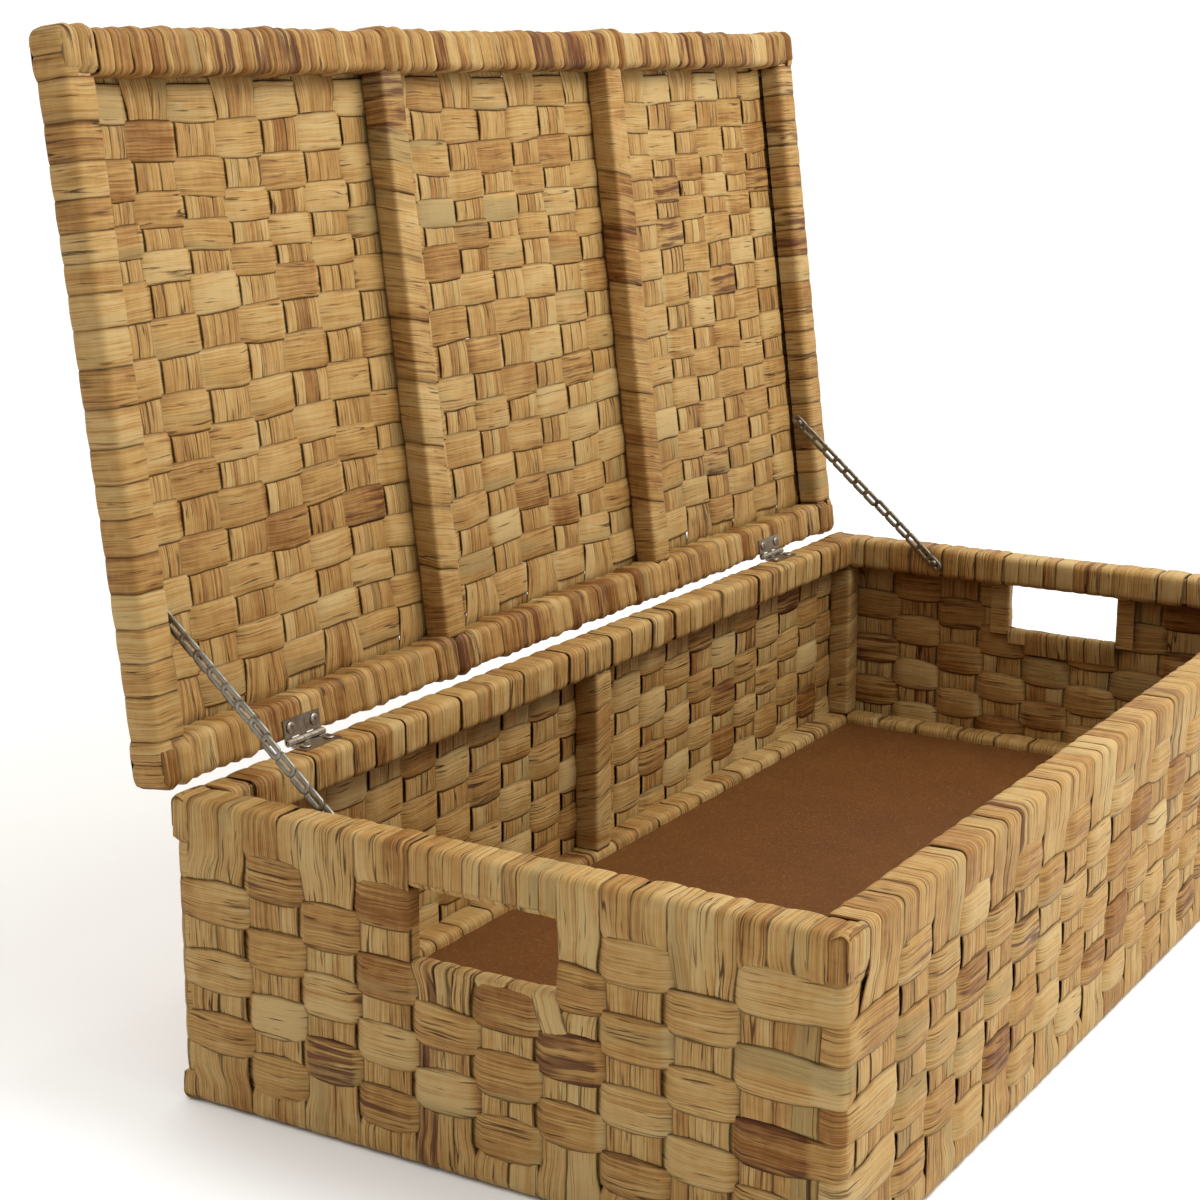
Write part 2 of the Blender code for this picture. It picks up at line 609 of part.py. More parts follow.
def build_hinges(hinge_line, box_targets, lid_targets):
    """Leaves, pins and screws. The targets are what the screws go into."""
    lid_share = range(0, KNUCKLES, 2)
    box_share = range(1, KNUCKLES, 2)
    over = -KNUCKLE_RADIUS + LEAF_THICKNESS + FIT  # where a screw head seats, from the pin line
    neck = LEAF_THICKNESS + 2 * FIT
    for across, x in (("left", -BOX_LENGTH / 2 + HINGE_INSET), ("right", BOX_LENGTH / 2 - HINGE_INSET)):
        line = (x, PIN_Y, PIN_Z)
        lid_line = (x, 0, 0)
        flip = (0, math.pi, 0)
        box_leaf = add_piece(f"{across}_hinge_box_leaf", hinge_leaf(box_share), BRIGHT_STEEL, line)
        lid_shape = hinge_leaf(lid_share)
        lid_leaf = add_piece(f"{across}_hinge_lid_leaf", lid_shape, BRIGHT_STEEL, lid_line, flip, hinge_line)
        add_piece(f"{across}_hinge_pin", hinge_pin(), BRIGHT_STEEL, line, (0, math.pi / 2, 0))
        for number, offset in ((1, -HINGE_SCREW_SPACING / 2), (2, HINGE_SCREW_SPACING / 2)):
            box_spot = (x + offset, PIN_Y - HINGE_SCREW_REACH, PIN_Z + over)
            lid_spot = (x + offset, -HINGE_SCREW_REACH, -over)
            places = [
                ("box", box_spot, (0, 0, 0), None, [box_leaf, *box_targets]),
                ("lid", lid_spot, flip, hinge_line, [lid_leaf, *lid_targets]),
            ]
            for half, spot, turn, parent, targets in places:
                name = f"{across}_hinge_{half}_screw_{number}"
                shape = screw(HINGE_SCREW_HEAD, HINGE_SCREW_RISE, HINGE_SCREW_SHANK, neck, HINGE_SCREW_LENGTH)
                add_piece(name, shape, BRIGHT_STEEL, spot, turn, parent)
                bore = screw_bore(HINGE_SCREW_SHANK, neck, HINGE_SCREW_LENGTH)
                cutter = add_cutter(f"{name} bore", bore, spot, turn, parent)
                for target in targets:
                    cut_away(target, cutter)


def chain_points():
    """Screw in the box, screw in the open lid, as (y, z) from the pin line, and the links' pitch."""
    box_end = Vector((-CHAIN_BOX_REACH, BOX_HEIGHT - CHAIN_BOX_DROP - PIN_Z))
    lid_end = Matrix.Rotation(-LID_OPEN, 2) @ Vector((-CHAIN_LID_REACH, CHAIN_LID_HEIGHT))
    pitch = (lid_end - box_end).length / (LOWER_LINKS + UPPER_LINKS - 1)
    return box_end, lid_end, pitch


def build_chains(hinge_line, end_walls, end_rails, lid_rails, lid_top):
    """Two strands a side, one on the screw in the box and one on the screw in the lid, that meet in line."""
    box_end, lid_end, pitch = chain_points()
    run = lid_end - box_end
    slope = math.atan2(-run.x, run.y)  # turn about X that takes +Z to the chain's line
    layer = LINK_THICKNESS + 2 * LINK_TILT
    for across, side in (("left", -1), ("right", 1)):
        face = side * (BOX_LENGTH / 2 - RAIL_WIDTH)
        inward = (0, -side * math.pi / 2, 0)  # screw heads face the inside of the box
        lower_x = face - side * (FIT + layer / 2)
        upper_x = lower_x - side * (layer + FIT)
        lower_spot = (lower_x, PIN_Y + box_end.x, PIN_Z + box_end.y)
        lower = chain_strand(LOWER_LINKS, pitch)
        add_piece(f"{across}_chain_lower", lower, DULL_BRONZE, lower_spot, (slope, 0, 0))
        upper_spot = (upper_x, -CHAIN_LID_REACH, CHAIN_LID_HEIGHT)
        upper = chain_strand(UPPER_LINKS, pitch)
        turn = slope + math.pi + LID_OPEN
        add_piece(f"{across}_chain_upper", upper, DULL_BRONZE, upper_spot, (turn, 0, 0), hinge_line)
        ends = [
            ("box", lower_x, lower_spot, None, [end_walls[across], end_rails[across]]),
            ("lid", upper_x, upper_spot, hinge_line, [lid_top, lid_rails[across]]),
        ]
        for half, link_x, spot, parent, targets in ends:
            head_x = link_x - side * (layer / 2 + FIT)
            neck = abs(face - head_x)
            name = f"{across}_chain_{half}_screw"
            seat = (head_x, spot[1], spot[2])
            shape = screw(CHAIN_SCREW_HEAD, CHAIN_SCREW_RISE, CHAIN_SCREW_SHANK, neck, CHAIN_SCREW_LENGTH)
            add_piece(name, shape, DULL_BRONZE, seat, inward, parent)
            bore = screw_bore(CHAIN_SCREW_SHANK, neck, CHAIN_SCREW_LENGTH)
            cutter = add_cutter(f"{name} bore", bore, seat, inward, parent)
            for target in targets:
                cut_away(target, cutter)


def main():
    clear_scene()
    hinge_line = add_empty("lid hinge line", (0, PIN_Y, PIN_Z), (-LID_OPEN, 0, 0))
    top_rails = build_box_frame()
    walls = build_box_walls()
    build_bottom()
    lid_rails, lid_top = build_lid(hinge_line)
    build_hinges(hinge_line, [walls["back"], top_rails["back"]], [lid_top, lid_rails["back"]])
    build_chains(hinge_line, walls, top_rails, lid_rails, lid_top)


main()
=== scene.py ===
"""Woven underbed storage box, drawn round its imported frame: leaf strips, board, hinges, screws and chains.

Metres, +Z up. X runs along the box and -Y is its front. The lid is planned closed and then swung open.
"""

import math
import random

import bmesh
import bpy
from mathutils import Matrix, Vector, noise


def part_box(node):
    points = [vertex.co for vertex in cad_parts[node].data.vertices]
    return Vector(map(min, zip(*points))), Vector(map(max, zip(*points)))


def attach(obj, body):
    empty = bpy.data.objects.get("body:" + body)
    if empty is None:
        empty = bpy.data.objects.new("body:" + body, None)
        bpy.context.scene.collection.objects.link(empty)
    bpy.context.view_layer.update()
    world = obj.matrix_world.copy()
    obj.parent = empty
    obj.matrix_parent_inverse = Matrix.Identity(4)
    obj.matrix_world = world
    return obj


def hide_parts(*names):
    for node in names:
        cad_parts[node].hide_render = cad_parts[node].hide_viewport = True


bl_info = {
    "name": "Woven underbed box",
    "version": (1, 0, 0),
    "blender": (4, 5, 0),
    "location": "View3D > Sidebar > Woven box",
    "description": "Builds a woven underbed storage box with an open lid round its frame",
    "category": "Object",
}

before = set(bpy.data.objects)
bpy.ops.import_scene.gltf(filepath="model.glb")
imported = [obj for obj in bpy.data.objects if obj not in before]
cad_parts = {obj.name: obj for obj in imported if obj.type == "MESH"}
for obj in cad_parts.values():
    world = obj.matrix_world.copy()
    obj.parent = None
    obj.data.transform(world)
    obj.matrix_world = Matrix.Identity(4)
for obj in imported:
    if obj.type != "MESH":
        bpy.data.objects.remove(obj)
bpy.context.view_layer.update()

# Frame sizes that the strips follow
HALF_LENGTH = 0.400
HALF_DEPTH = 0.194
BOX_HEIGHT = 0.170
RAIL_WIDTH = 0.022
RIM_LEVEL = 0.148
BASE_RAIL_HEIGHT = 0.025
LEDGE_REACH = 0.030
LID_LEVEL = 0.175
LID_THICKNESS = 0.022
HINGE_LINE = Vector((0.0, 0.1953, 0.1725))
LID_OPEN = math.radians(97.0)
HINGE_CENTRE = 0.286
HINGE_REACH = 0.019
HOLE_HALF = 0.043
HOLE_SILL = 0.110
HOLE_DEPTH = 0.0098
POST_SIDE = 0.0169
POST_INSET = 0.0048 + POST_SIDE / 2
MID_POST_WIDTH = 0.018
BATTEN_CENTRE = 0.128
BATTEN_WIDTH = 0.020
BATTEN_DEPTH = 0.0157
BATTEN_HALF_RUN = 0.1717

# Columns of upright strips, along each wall as seen from outside, left to right
LEFT_COLUMNS = (-0.165, -0.129, -0.094, -0.059, -0.024, 0.0135, 0.049, 0.0845, 0.121, 0.156)
FRONT_COLUMNS = tuple(
    [-0.358, -0.3215, -0.2855, -0.2485, -0.213, -0.1765, -0.1415, -0.1035, -0.0675, -0.030, 0.004]
    + [0.004 + 0.0328 * step for step in range(1, 12)]
)
RIGHT_COLUMNS = (-0.166, -0.131, -0.096, -0.060, -0.022, 0.0135, 0.049, 0.086, 0.120, 0.158)
BACK_COLUMNS = tuple([-0.372] + [-0.378 + 0.0351 * step for step in range(1, 22)])
WALL_ROWS = (0.136, 0.1165, 0.097, 0.0785, 0.061, 0.044, 0.027)  # from the top down

# Rows and columns of the lid, in its own plane: rows from the hinges
LID_ROWS = (
    0.352, 0.333, 0.313, 0.296, 0.280, 0.265, 0.249, 0.229, 0.209,
    0.188, 0.168, 0.151, 0.132, 0.112, 0.093, 0.075, 0.057, 0.039,
)
LID_PITCH = 0.036
LID_COLUMNS = tuple(LID_PITCH * step + 0.0016 * math.sin(2.4 * step) for step in range(-10, 11))

# The lid's weave: height of its middle, then its relief, crown and bulge as shares of the walls'
LID_WEAVE_HEIGHT = 0.0189
LID_RELIEF = 0.72
LID_CROWN = 0.7
LID_BARREL = 0.6

# Widest part of a strip along the lid, as a multiple of its neck
LID_WIDENING = 1.02

# Half of the run over which a strip lies flat over or under a column, the same over a row, and half a cell
CELL_REACH = 0.0116
ROW_REACH = 0.005
CELL_HALF = 0.0180

# How a cell's outline bulges, how rows lap where they dive, and how much wider cells are than planned
NECK_POWER = 2.2
BARREL = 0.8
ROW_LAP = 0.0010
WEFT_WIDENING = 1.03
WIDTH_VARIES = 0.11

# How rows stray from their level: slowly, then quickly, with the rates of both along and between rows
SLOW_WANDER = 0.0030
QUICK_WANDER = 0.0012
SLOW_RATE = 9.0
QUICK_RATE = 24.0
LEVEL_RATE = 14.0
ROW_SHIFT = 9.1
LID_SLOW_WANDER = 0.0036
LID_QUICK_WANDER = 0.0011
LID_SLOW_RATE = 8.0
LID_LEVEL_RATE = 12.0

# Depth of a strip's middle below the face that it covers, and what strips side by side lap
SKIN = 0.0003
LID_SKIN = 0.0004
FINE_LAP = 0.0002
LAP = 0.0003
WIDE_LAP = 0.0004

# Crown of strips that are pulled flat, and the share of its crown that a strip under a hinge keeps
FLAT_CROWN = 0.0003
HINGE_CROWN = 0.15

# Shades of leaf, from 0 for brown to 1 for straw, and its stains
SHADE_MEAN = 0.59
SHADE_SPREAD = 0.15
SHADE_RANGE = (0.15, 0.95)
STAIN_RANGE = (0.35, 1.0)
STAIN_DARKENS = 0.15

# Upright strips: how their shades are calmed, and how shade and place wander along a strip
CALM_SHADE = 0.58
CALM_SHARE = 0.6
TONE_WANDER = 0.16
TONE_RUN = 0.06
STRAY = 0.0010
STRAY_RUN = 0.05

# Rows in the upper of the two pieces that run round the box
UPPER_ROWS = 4

# How a strip along the walls turns a corner
CORNER_RADIUS = 0.0055
CORNER_STEPS = 5
CORNER_SWING = 0.75
CORNER_REACH = 0.004
CORNER_CROWN = 0.0004

# A wall's first and last columns: what they are wider by towards the corner, and their reach on the rim
CORNER_SPREAD = 0.0102
WIDEST_SHARE = 0.0188

# Strips beside those columns, over the rim and round the foot of a corner
CORNER_STRIP = 0.0115
CORNER_TUCK = 0.009
CORNER_DARKENS = 0.18
CORNER_LIFT = 0.0004
TUCK_DEPTH = 0.0048

# Ends of rows that a hand hole cuts: tucked back inside, turned round the hole's side, and their columns
HOLE_CLEARANCE = 0.0012
HOLE_SIDE_SKIN = 0.0005
HOLE_TUCK = (0.014, 0.007, 0.002)
HOLE_TURN = (HOLE_DEPTH - 0.001, 0.006, 0.0032)
HOLE_COLUMNS = {-1: 3, 1: 6}

# Sill of a hand hole: reach of its columns, its two strips' edges, its bends, and its inside going down
SILL_REACH = 0.030
SILL_SPLIT = -0.005
SILL_END = 0.031
SILL_RADIUS = 0.0026
SILL_BEND = 0.0022
SILL_SKIN = 0.0006
SILL_INSIDE = ((0.0094, 0.104), (0.0079, 0.098), (0.0064, 0.092))

# Strip beside the sill that leans out over the weave and back over the sill: (along, depth, height)
LEANING_STRIP = (
    (0.0440, 0.0016, 0.084), (0.0415, 0.0010, 0.090), (0.0385, 0.0, 0.098), (0.0365, 0.0, 0.106),
)
LEANING_OVER = 0.0355
LEANING_HALF = 0.0078
LEANING_CROWN = 0.0006

# Columns: the share of them in three strips, the others in two, and how far the cuts between strips stray
WALL_THREE_SHARE = 0.45
WALL_CUT_STRAY = 0.16
LID_THREE_SHARE = 0.70
LID_CUT_STRAY = 0.22

# Uprights: where they start, and where each change begins and over how long a run
UPRIGHT_START = 0.0055
UPRIGHT_STEP = 0.004
UPRIGHT_END_REACH = 0.004
RIM_FOOT_FREE = 0.1265
RIM_FOOT_COVERED = 0.139
BASE_BLEND = (0.0125, 0.011)
HOLE_BLEND = (0.098, 0.012)
SILL_BLEND = (0.096, 0.012)
RIM_BLEND = (0.141, 0.007)
RIM_SLANT = 0.0022

# Bands over the bottom rails and loops round the rail above a hand hole
BAND_PITCH = 0.0305
BAND_STRAY = 0.003
BAND_CROWN = 0.0007
BAND_DARKENS = 0.06
LOOP_COUNT = 8
LOOP_STRAY = 0.0016
LOOP_CROWN = 0.45
LOOP_LIGHTENS = 0.06

# Lid: where strips leave the rails, each change's start and run, and where the weave's ends lie
LID_DEPTH_BLEND = (0.0175, 0.008)
LID_SPREAD_BLEND = (0.0245, 0.020)
LID_WEAVE_EDGE = 0.0185
LID_CROSS_STEP = 0.0052
LID_EDGE_GAP = 0.0016
LID_END_REACH = 0.006
LID_SIDE_CORNER_CROWN = 0.0012
LID_CORNER_CROWN = 0.0032
LID_TUCK_CROWN = 0.0004

# Strips round the lid's front and back rails: their widening, stains, slants as (mean, wander) and bulges
LID_RAIL_WIDENING = 1.10
LID_RAIL_STAINED = 0.62
FRONT_SLANT = (0.0125, 0.011)
BACK_SLANT = (0.0060, 0.006)
SLANT_RUN = 0.09
WRAP_BULGE = (-0.0002, 0.0017)
BATTEN_BULGE = 0.0016
BATTEN_REACH = 0.012

# Windings round posts and battens
WINDING_LAP = 0.0009
WINDING_LIFT = 0.02
WINDING_DARKENS = 0.04
FIRST_SIDE = 0.28
BAR_CLEARANCE = 0.0006
POST_CROWN = 0.0004
POST_STAINED = 0.16
BATTEN_STAINED = 0.45
BATTEN_SLANT = 0.35

# Lengths of path between points
STEP = 0.0045
ARC_STEPS = 4

# How ribbed a strip is: smooth leaf at 0, a bundle of fibres at 1
UPRIGHT_RIBS = 0.9
WRAP_RIBS = 0.5
WEFT_RIBS = 0.25
SMOOTH_RIBS = 0.1

# A strip's cross-section: its points, the powers that square it off, and the rates of its waver and ripple
PROFILE_POINTS = 12
SQUARED_ACROSS = 0.75
SQUARED_THROUGH = 0.5
WAVER_RATE = 55.0
WAVER_SHIFT = 3.7
RIPPLE_RATE = 70.0
RIPPLE_RATE_ACROSS = 210.0
RIPPLE_SHIFT = 1.3
PATTERN_SHIFT = 0.173

# What each point of a strip's line says, and what of it the finish reads
FLOAT_VALUES = ("half_width", "crown", "run", "strip_number", "shade", "stain", "ribbed")
VECTOR_VALUES = ("strip_normal", "strip_side")
KEPT_VALUES = ("shade", "stain", "ribbed")

# Screws as (head radius, rise), where the hinges' sit, and the chains' links
HINGE_SCREW = (0.0034, 0.00092)
CHAIN_SCREW = (0.0027, 0.0017)
HINGE_SEAT = 0.0010
HINGE_SCREW_REACH = 0.0080
HINGE_SCREW_SPACING = 0.0105
CHAIN_SCREW_DROP = 0.0016
SHARP_ANGLE = math.radians(42.0)
CHAIN_PITCH = 0.011905
CHAIN_LINKS = {"lower": 6, "upper": 8}

# Screw head as (radius, height), in shares of its radius and rise, and the cross sunk in it
SCREW_PROFILE = (
    (0.30, -0.6), (0.52, -0.4), (0.55, -0.05), (0.97, 0.0), (1.0, 0.12),
    (0.98, 0.34), (0.86, 0.70), (0.66, 0.92), (0.46, 1.0),
)
CROSS_ARM = 0.40
CROSS_CORNER = 0.15
CROSS_FLOOR = 0.85

# Screen colours of board, timber and floor at stops along their patterns
BOARD_TONES = ((0.25, (84, 49, 19)), (0.55, (96, 58, 23)), (0.85, (108, 68, 29)))
BOARD_FLECKS = (156, 116, 76)
TIMBER_TONES = ((0.25, (156, 116, 72)), (0.5, (192, 152, 102)), (0.8, (212, 176, 126)))
FLOOR_TONES = ((0.3, (245, 248, 252)), (0.7, (248, 251, 255)))

# Metals: screen colours where dark and where bright, and roughness from and to
METALS = {
    "bright steel": ((142, 130, 114), (158, 147, 131), 0.32, 0.40),
    "dull bronze": ((118, 112, 100), (150, 144, 132), 0.38, 0.50),
}

# Camera, floor, lamps and surroundings
CAMERA_SPOT = (-1.279756, -0.600204, 0.548975)
CAMERA_TURN = (math.radians(76.74), 0.0, math.radians(-58.778))
SENSOR = 36.0
FLOOR_HALF = 9.0
FLOOR_DROP = 0.0002
KEY_FROM = (0.25, -0.80, 1.35)
KEY_AT = (0.05, 0.05, 0.1)
KEY_SIZE = (0.9, 0.6)
KEY_COLOUR = (0.98, 1.0, 0.98)
FILL_FROM = (0.35, -1.60, 0.42)
FILL_AT = (0.05, 0.05, 0.15)
FILL_SIZE = (1.0, 0.7)
FILL_COLOUR = (1.0, 1.0, 1.0)
SKY_COLOUR = (1.0, 0.96, 0.90, 1.0)
WHITE = (1.0, 1.0, 1.0, 1.0)
HORIZON_STRENGTH = 1.15
SKY_TOWARD = (0.42, 0.25, 0.95)


def eased(share):
    share = min(max(share, 0.0), 1.0)
    return share * share * (3.0 - 2.0 * share)


def mixed(low, high, share):
    return low + (high - low) * share


def risen(place, blend):
    """How far a place is through a change, given as where it begins and its run."""
    return eased((place - blend[0]) / blend[1])


def linked(name, data):
    """A new object in the scene."""
    piece = bpy.data.objects.new(name, data)
    bpy.context.scene.collection.objects.link(piece)
    return piece


def linear(red, green, blue):
    """A screen colour of 0 to 255 as the linear colour that shaders take."""
    values = []
    for part in (red, green, blue):
        part /= 255.0
        values.append(part / 12.92 if part <= 0.04045 else ((part + 0.055) / 1.055) ** 2.4)
    return (*values, 1.0)


class WovenSizes(bpy.types.PropertyGroup):
    """Sizes of the leaf strips and of how they are woven."""

    thickness: bpy.props.FloatProperty(
        name="Strip thickness", description="Of one leaf strip", default=0.0009, unit="LENGTH"
    )
    weave_depth: bpy.props.FloatProperty(
        name="Weave depth", description="Outer face of a wall to the middle of its weave", default=0.0022,
        unit="LENGTH",
    )
    weft_swing: bpy.props.FloatProperty(
        name="Weft swing", description="How far a strip along the wall goes in and out", default=0.0015,
        unit="LENGTH",
    )
    warp_swing: bpy.props.FloatProperty(
        name="Upright swing", description="How far an upright strip goes in and out", default=0.0010,
        unit="LENGTH",
    )
    weft_crown: bpy.props.FloatProperty(
        name="Weft crown", description="How far the middle of a strip stands above its edges", default=0.0016,
        unit="LENGTH",
    )
    warp_crown: bpy.props.FloatProperty(
        name="Upright crown", description="The same of an upright strip", default=0.00025, unit="LENGTH"
    )
    wrap_crown: bpy.props.FloatProperty(
        name="Wrap crown", description="The same of a strip round a rail", default=0.0006, unit="LENGTH"
    )
    weft_half: bpy.props.FloatProperty(
        name="Weft half width", description="Where a strip passes over", default=0.0122, unit="LENGTH"
    )
    column_width: bpy.props.FloatProperty(
        name="Column width", description="Upright strips of one column, side by side", default=0.0302,
        unit="LENGTH",
    )
    rounding: bpy.props.FloatProperty(
        name="Rail rounding", description="Of the wrapped rails", default=0.0040, unit="LENGTH"
    )
    ripple: bpy.props.FloatProperty(
        name="Ripple", description="Unevenness of a strip's face", default=0.00030, unit="LENGTH"
    )
    waver: bpy.props.FloatProperty(
        name="Waver", description="Unevenness of a strip's edges", default=0.0007, unit="LENGTH"
    )
    post_pitch: bpy.props.FloatProperty(
        name="Post winding", description="Rise of one turn round a post", default=0.0215, unit="LENGTH"
    )
    batten_pitch: bpy.props.FloatProperty(
        name="Batten winding", description="Advance of one turn round a batten", default=0.038, unit="LENGTH"
    )


class LeafColours(bpy.types.PropertyGroup):
    """Colours of the dried leaf."""

    brown: bpy.props.FloatVectorProperty(
        name="Brown", description="Darkest strips", subtype="COLOR", size=4, default=linear(113, 70, 27)
    )
    tan: bpy.props.FloatVectorProperty(
        name="Tan", description="Darker strips", subtype="COLOR", size=4, default=linear(144, 105, 57)
    )
    golden: bpy.props.FloatVectorProperty(
        name="Golden", description="Most strips", subtype="COLOR", size=4, default=linear(164, 128, 74)
    )
    straw: bpy.props.FloatVectorProperty(
        name="Straw", description="Pale strips", subtype="COLOR", size=4, default=linear(177, 150, 101)
    )
    stain: bpy.props.FloatVectorProperty(
        name="Stain", description="Purple-brown streaks", subtype="COLOR", size=4, default=linear(77, 37, 23)
    )
    sage: bpy.props.FloatVectorProperty(
        name="Sage", description="Greenish strips", subtype="COLOR", size=4, default=linear(135, 118, 77)
    )
    # Also the colour of the painted shade along each strip's edges
    fibre: bpy.props.FloatVectorProperty(
        name="Fibre", description="Dark lines along the fibres", subtype="COLOR", size=4,
        default=linear(56, 26, 3),
    )


class MetalSizes(bpy.types.PropertyGroup):
    """Sizes of the chain's links and of the screws."""

    link_width: bpy.props.FloatProperty(
        name="Link width", description="Across one link", default=0.0080, unit="LENGTH"
    )
    link_bar: bpy.props.FloatProperty(
        name="Link bar", description="Width of the bar round a link's window", default=0.0030, unit="LENGTH"
    )
    link_thickness: bpy.props.FloatProperty(
        name="Link thickness", description="Of the folded link", default=0.0020, unit="LENGTH"
    )
    screw_sides: bpy.props.IntProperty(name="Screw sides", description="Facets of a head", default=28)


class StageSettings(bpy.types.PropertyGroup):
    """Camera and light."""

    lens: bpy.props.FloatProperty(
        name="Lens", description="Focal length in millimetres on a 36 mm sensor", default=70.294
    )
    key: bpy.props.FloatProperty(
        name="Key light", description="Soft light above the front of the box", default=17.2, unit="POWER"
    )
    fill: bpy.props.FloatProperty(
        name="Fill light", description="Soft low light from the front", default=3.7, unit="POWER"
    )
    sky_near: bpy.props.FloatProperty(
        name="Near sky", description="Strength of the surroundings on the camera's side", default=0.20
    )
    sky_far: bpy.props.FloatProperty(
        name="Far sky", description="Strength of the surroundings above and behind", default=1.45
    )


class StripPlan:
    """Centre lines of leaf strips, gathered as points and edges with what each point says of its strip."""

    def __init__(self, first_number, place=Matrix.Identity(4)):
        self.number = first_number
        self.place = place
        self.turn = place.to_3x3()
        self.points = []
        self.edges = []
        self.values = {name: [] for name in FLOAT_VALUES + VECTOR_VALUES}

    def add(self, stations, ribbed, closed=False):
        """Adds one strip. Stations are (point, side, half width, crown, shade, stain)."""
        self.number += 1
        first = len(self.points)
        count = len(stations)
        run = 0.0
        for index, (point, side, half_width, crown, shade, stain) in enumerate(stations):
            if closed:
                before = stations[index - 1][0]
                after = stations[(index + 1) % count][0]
            else:
                before = stations[max(index - 1, 0)][0]
                after = stations[min(index + 1, count - 1)][0]
            if index > 0:
                run += (point - stations[index - 1][0]).length
            normal = side.cross(after - before).normalized()
            self.points.append(self.place @ point)
            for key, vector in zip(VECTOR_VALUES, (normal, side)):
                self.values[key].append(self.turn @ vector)
            said = (half_width, crown, run, float(self.number), shade, stain, ribbed)
            for key, value in zip(FLOAT_VALUES, said):
                self.values[key].append(value)
        for index in range(count - 1):
            self.edges.append((first + index, first + index + 1))
        if closed:
            self.edges.append((first + count - 1, first))

    def mesh(self, name):
        mesh = bpy.data.meshes.new(name)
        mesh.from_pydata(self.points, self.edges, [])
        for key in FLOAT_VALUES:
            layer = mesh.attributes.new(key, "FLOAT", "POINT")
            layer.data.foreach_set("value", self.values[key])
        for key in VECTOR_VALUES:
            layer = mesh.attributes.new(key, "FLOAT_VECTOR", "POINT")
            layer.data.foreach_set("vector", [part for vector in self.values[key] for part in vector])
        return mesh


class NodeBuilder:
    """Adds and joins nodes in a tree."""

    def __init__(self, tree):
        self.tree = tree

    def node(self, kind, inputs=None, **settings):
        node = self.tree.nodes.new(kind)
        for key, value in settings.items():
            setattr(node, key, value)
        for key, value in (inputs or {}).items():
            self.feed(node.inputs[key], value)
        return node

    def feed(self, socket, value):
        if isinstance(value, bpy.types.NodeSocket):
            self.tree.links.new(value, socket)
        else:
            socket.default_value = value

    def math(self, operation, first, second=0.0, third=0.0, clamp=False):
        node = self.node("ShaderNodeMath", {0: first, 1: second, 2: third}, operation=operation)
        node.use_clamp = clamp
        return node.outputs[0]

    def vector_math(self, operation, first, second):
        node = self.node("ShaderNodeVectorMath", {0: first}, operation=operation)
        self.feed(node.inputs["Scale" if operation == "SCALE" else 1], second)
        return node.outputs[0]

    def combine(self, x, y, z):
        return self.node("ShaderNodeCombineXYZ", {0: x, 1: y, 2: z}).outputs[0]

    def ramped(self, value, low, high, to_low=0.0, to_high=1.0):
        inputs = {"Value": value, "From Min": low, "From Max": high, "To Min": to_low, "To Max": to_high}
        node = self.node("ShaderNodeMapRange", inputs, interpolation_type="SMOOTHSTEP")
        return node.outputs[0]

    def named(self, name, kind="FLOAT"):
        node = self.node("GeometryNodeInputNamedAttribute", {"Name": name}, data_type=kind)
        return node.outputs["Attribute"]

    def stored(self, geometry, name, value, kind="FLOAT", domain="POINT"):
        inputs = {"Geometry": geometry, "Name": name, "Value": value}
        node = self.node("GeometryNodeStoreNamedAttribute", inputs, data_type=kind, domain=domain)
        return node.outputs[0]

    def noise(self, spot, detail):
        node = self.node("ShaderNodeTexNoise", {"Vector": spot, "Scale": 1.0, "Detail": detail})
        return node.outputs[0]

    def blend(self, first, second, share):
        node = self.node("ShaderNodeMix", {"Factor": share, 6: first, 7: second}, data_type="RGBA")
        return node.outputs[2]


def new_tree(name, inputs, output):
    """A geometry tree with named inputs and one output, its builder, and what it is given."""
    tree = bpy.data.node_groups.new(name, "GeometryNodeTree")
    for label, kind in inputs.items():
        socket = tree.interface.new_socket(label, in_out="INPUT", socket_type=f"NodeSocket{kind}")
        if kind == "Float":
            socket.subtype = "DISTANCE"
    tree.interface.new_socket(output, in_out="OUTPUT", socket_type="NodeSocketGeometry")
    build = NodeBuilder(tree)
    return tree, build, build.node("NodeGroupInput").outputs


def end_tree(build, mesh, finish, output):
    """Ends a tree: instances made real, and the finish set."""
    mesh = build.node("GeometryNodeRealizeInstances", {"Geometry": mesh}).outputs[0]
    mesh = build.node("GeometryNodeSetMaterial", {"Geometry": mesh, "Material": finish}).outputs[0]
    build.node("NodeGroupOutput", {output: mesh})


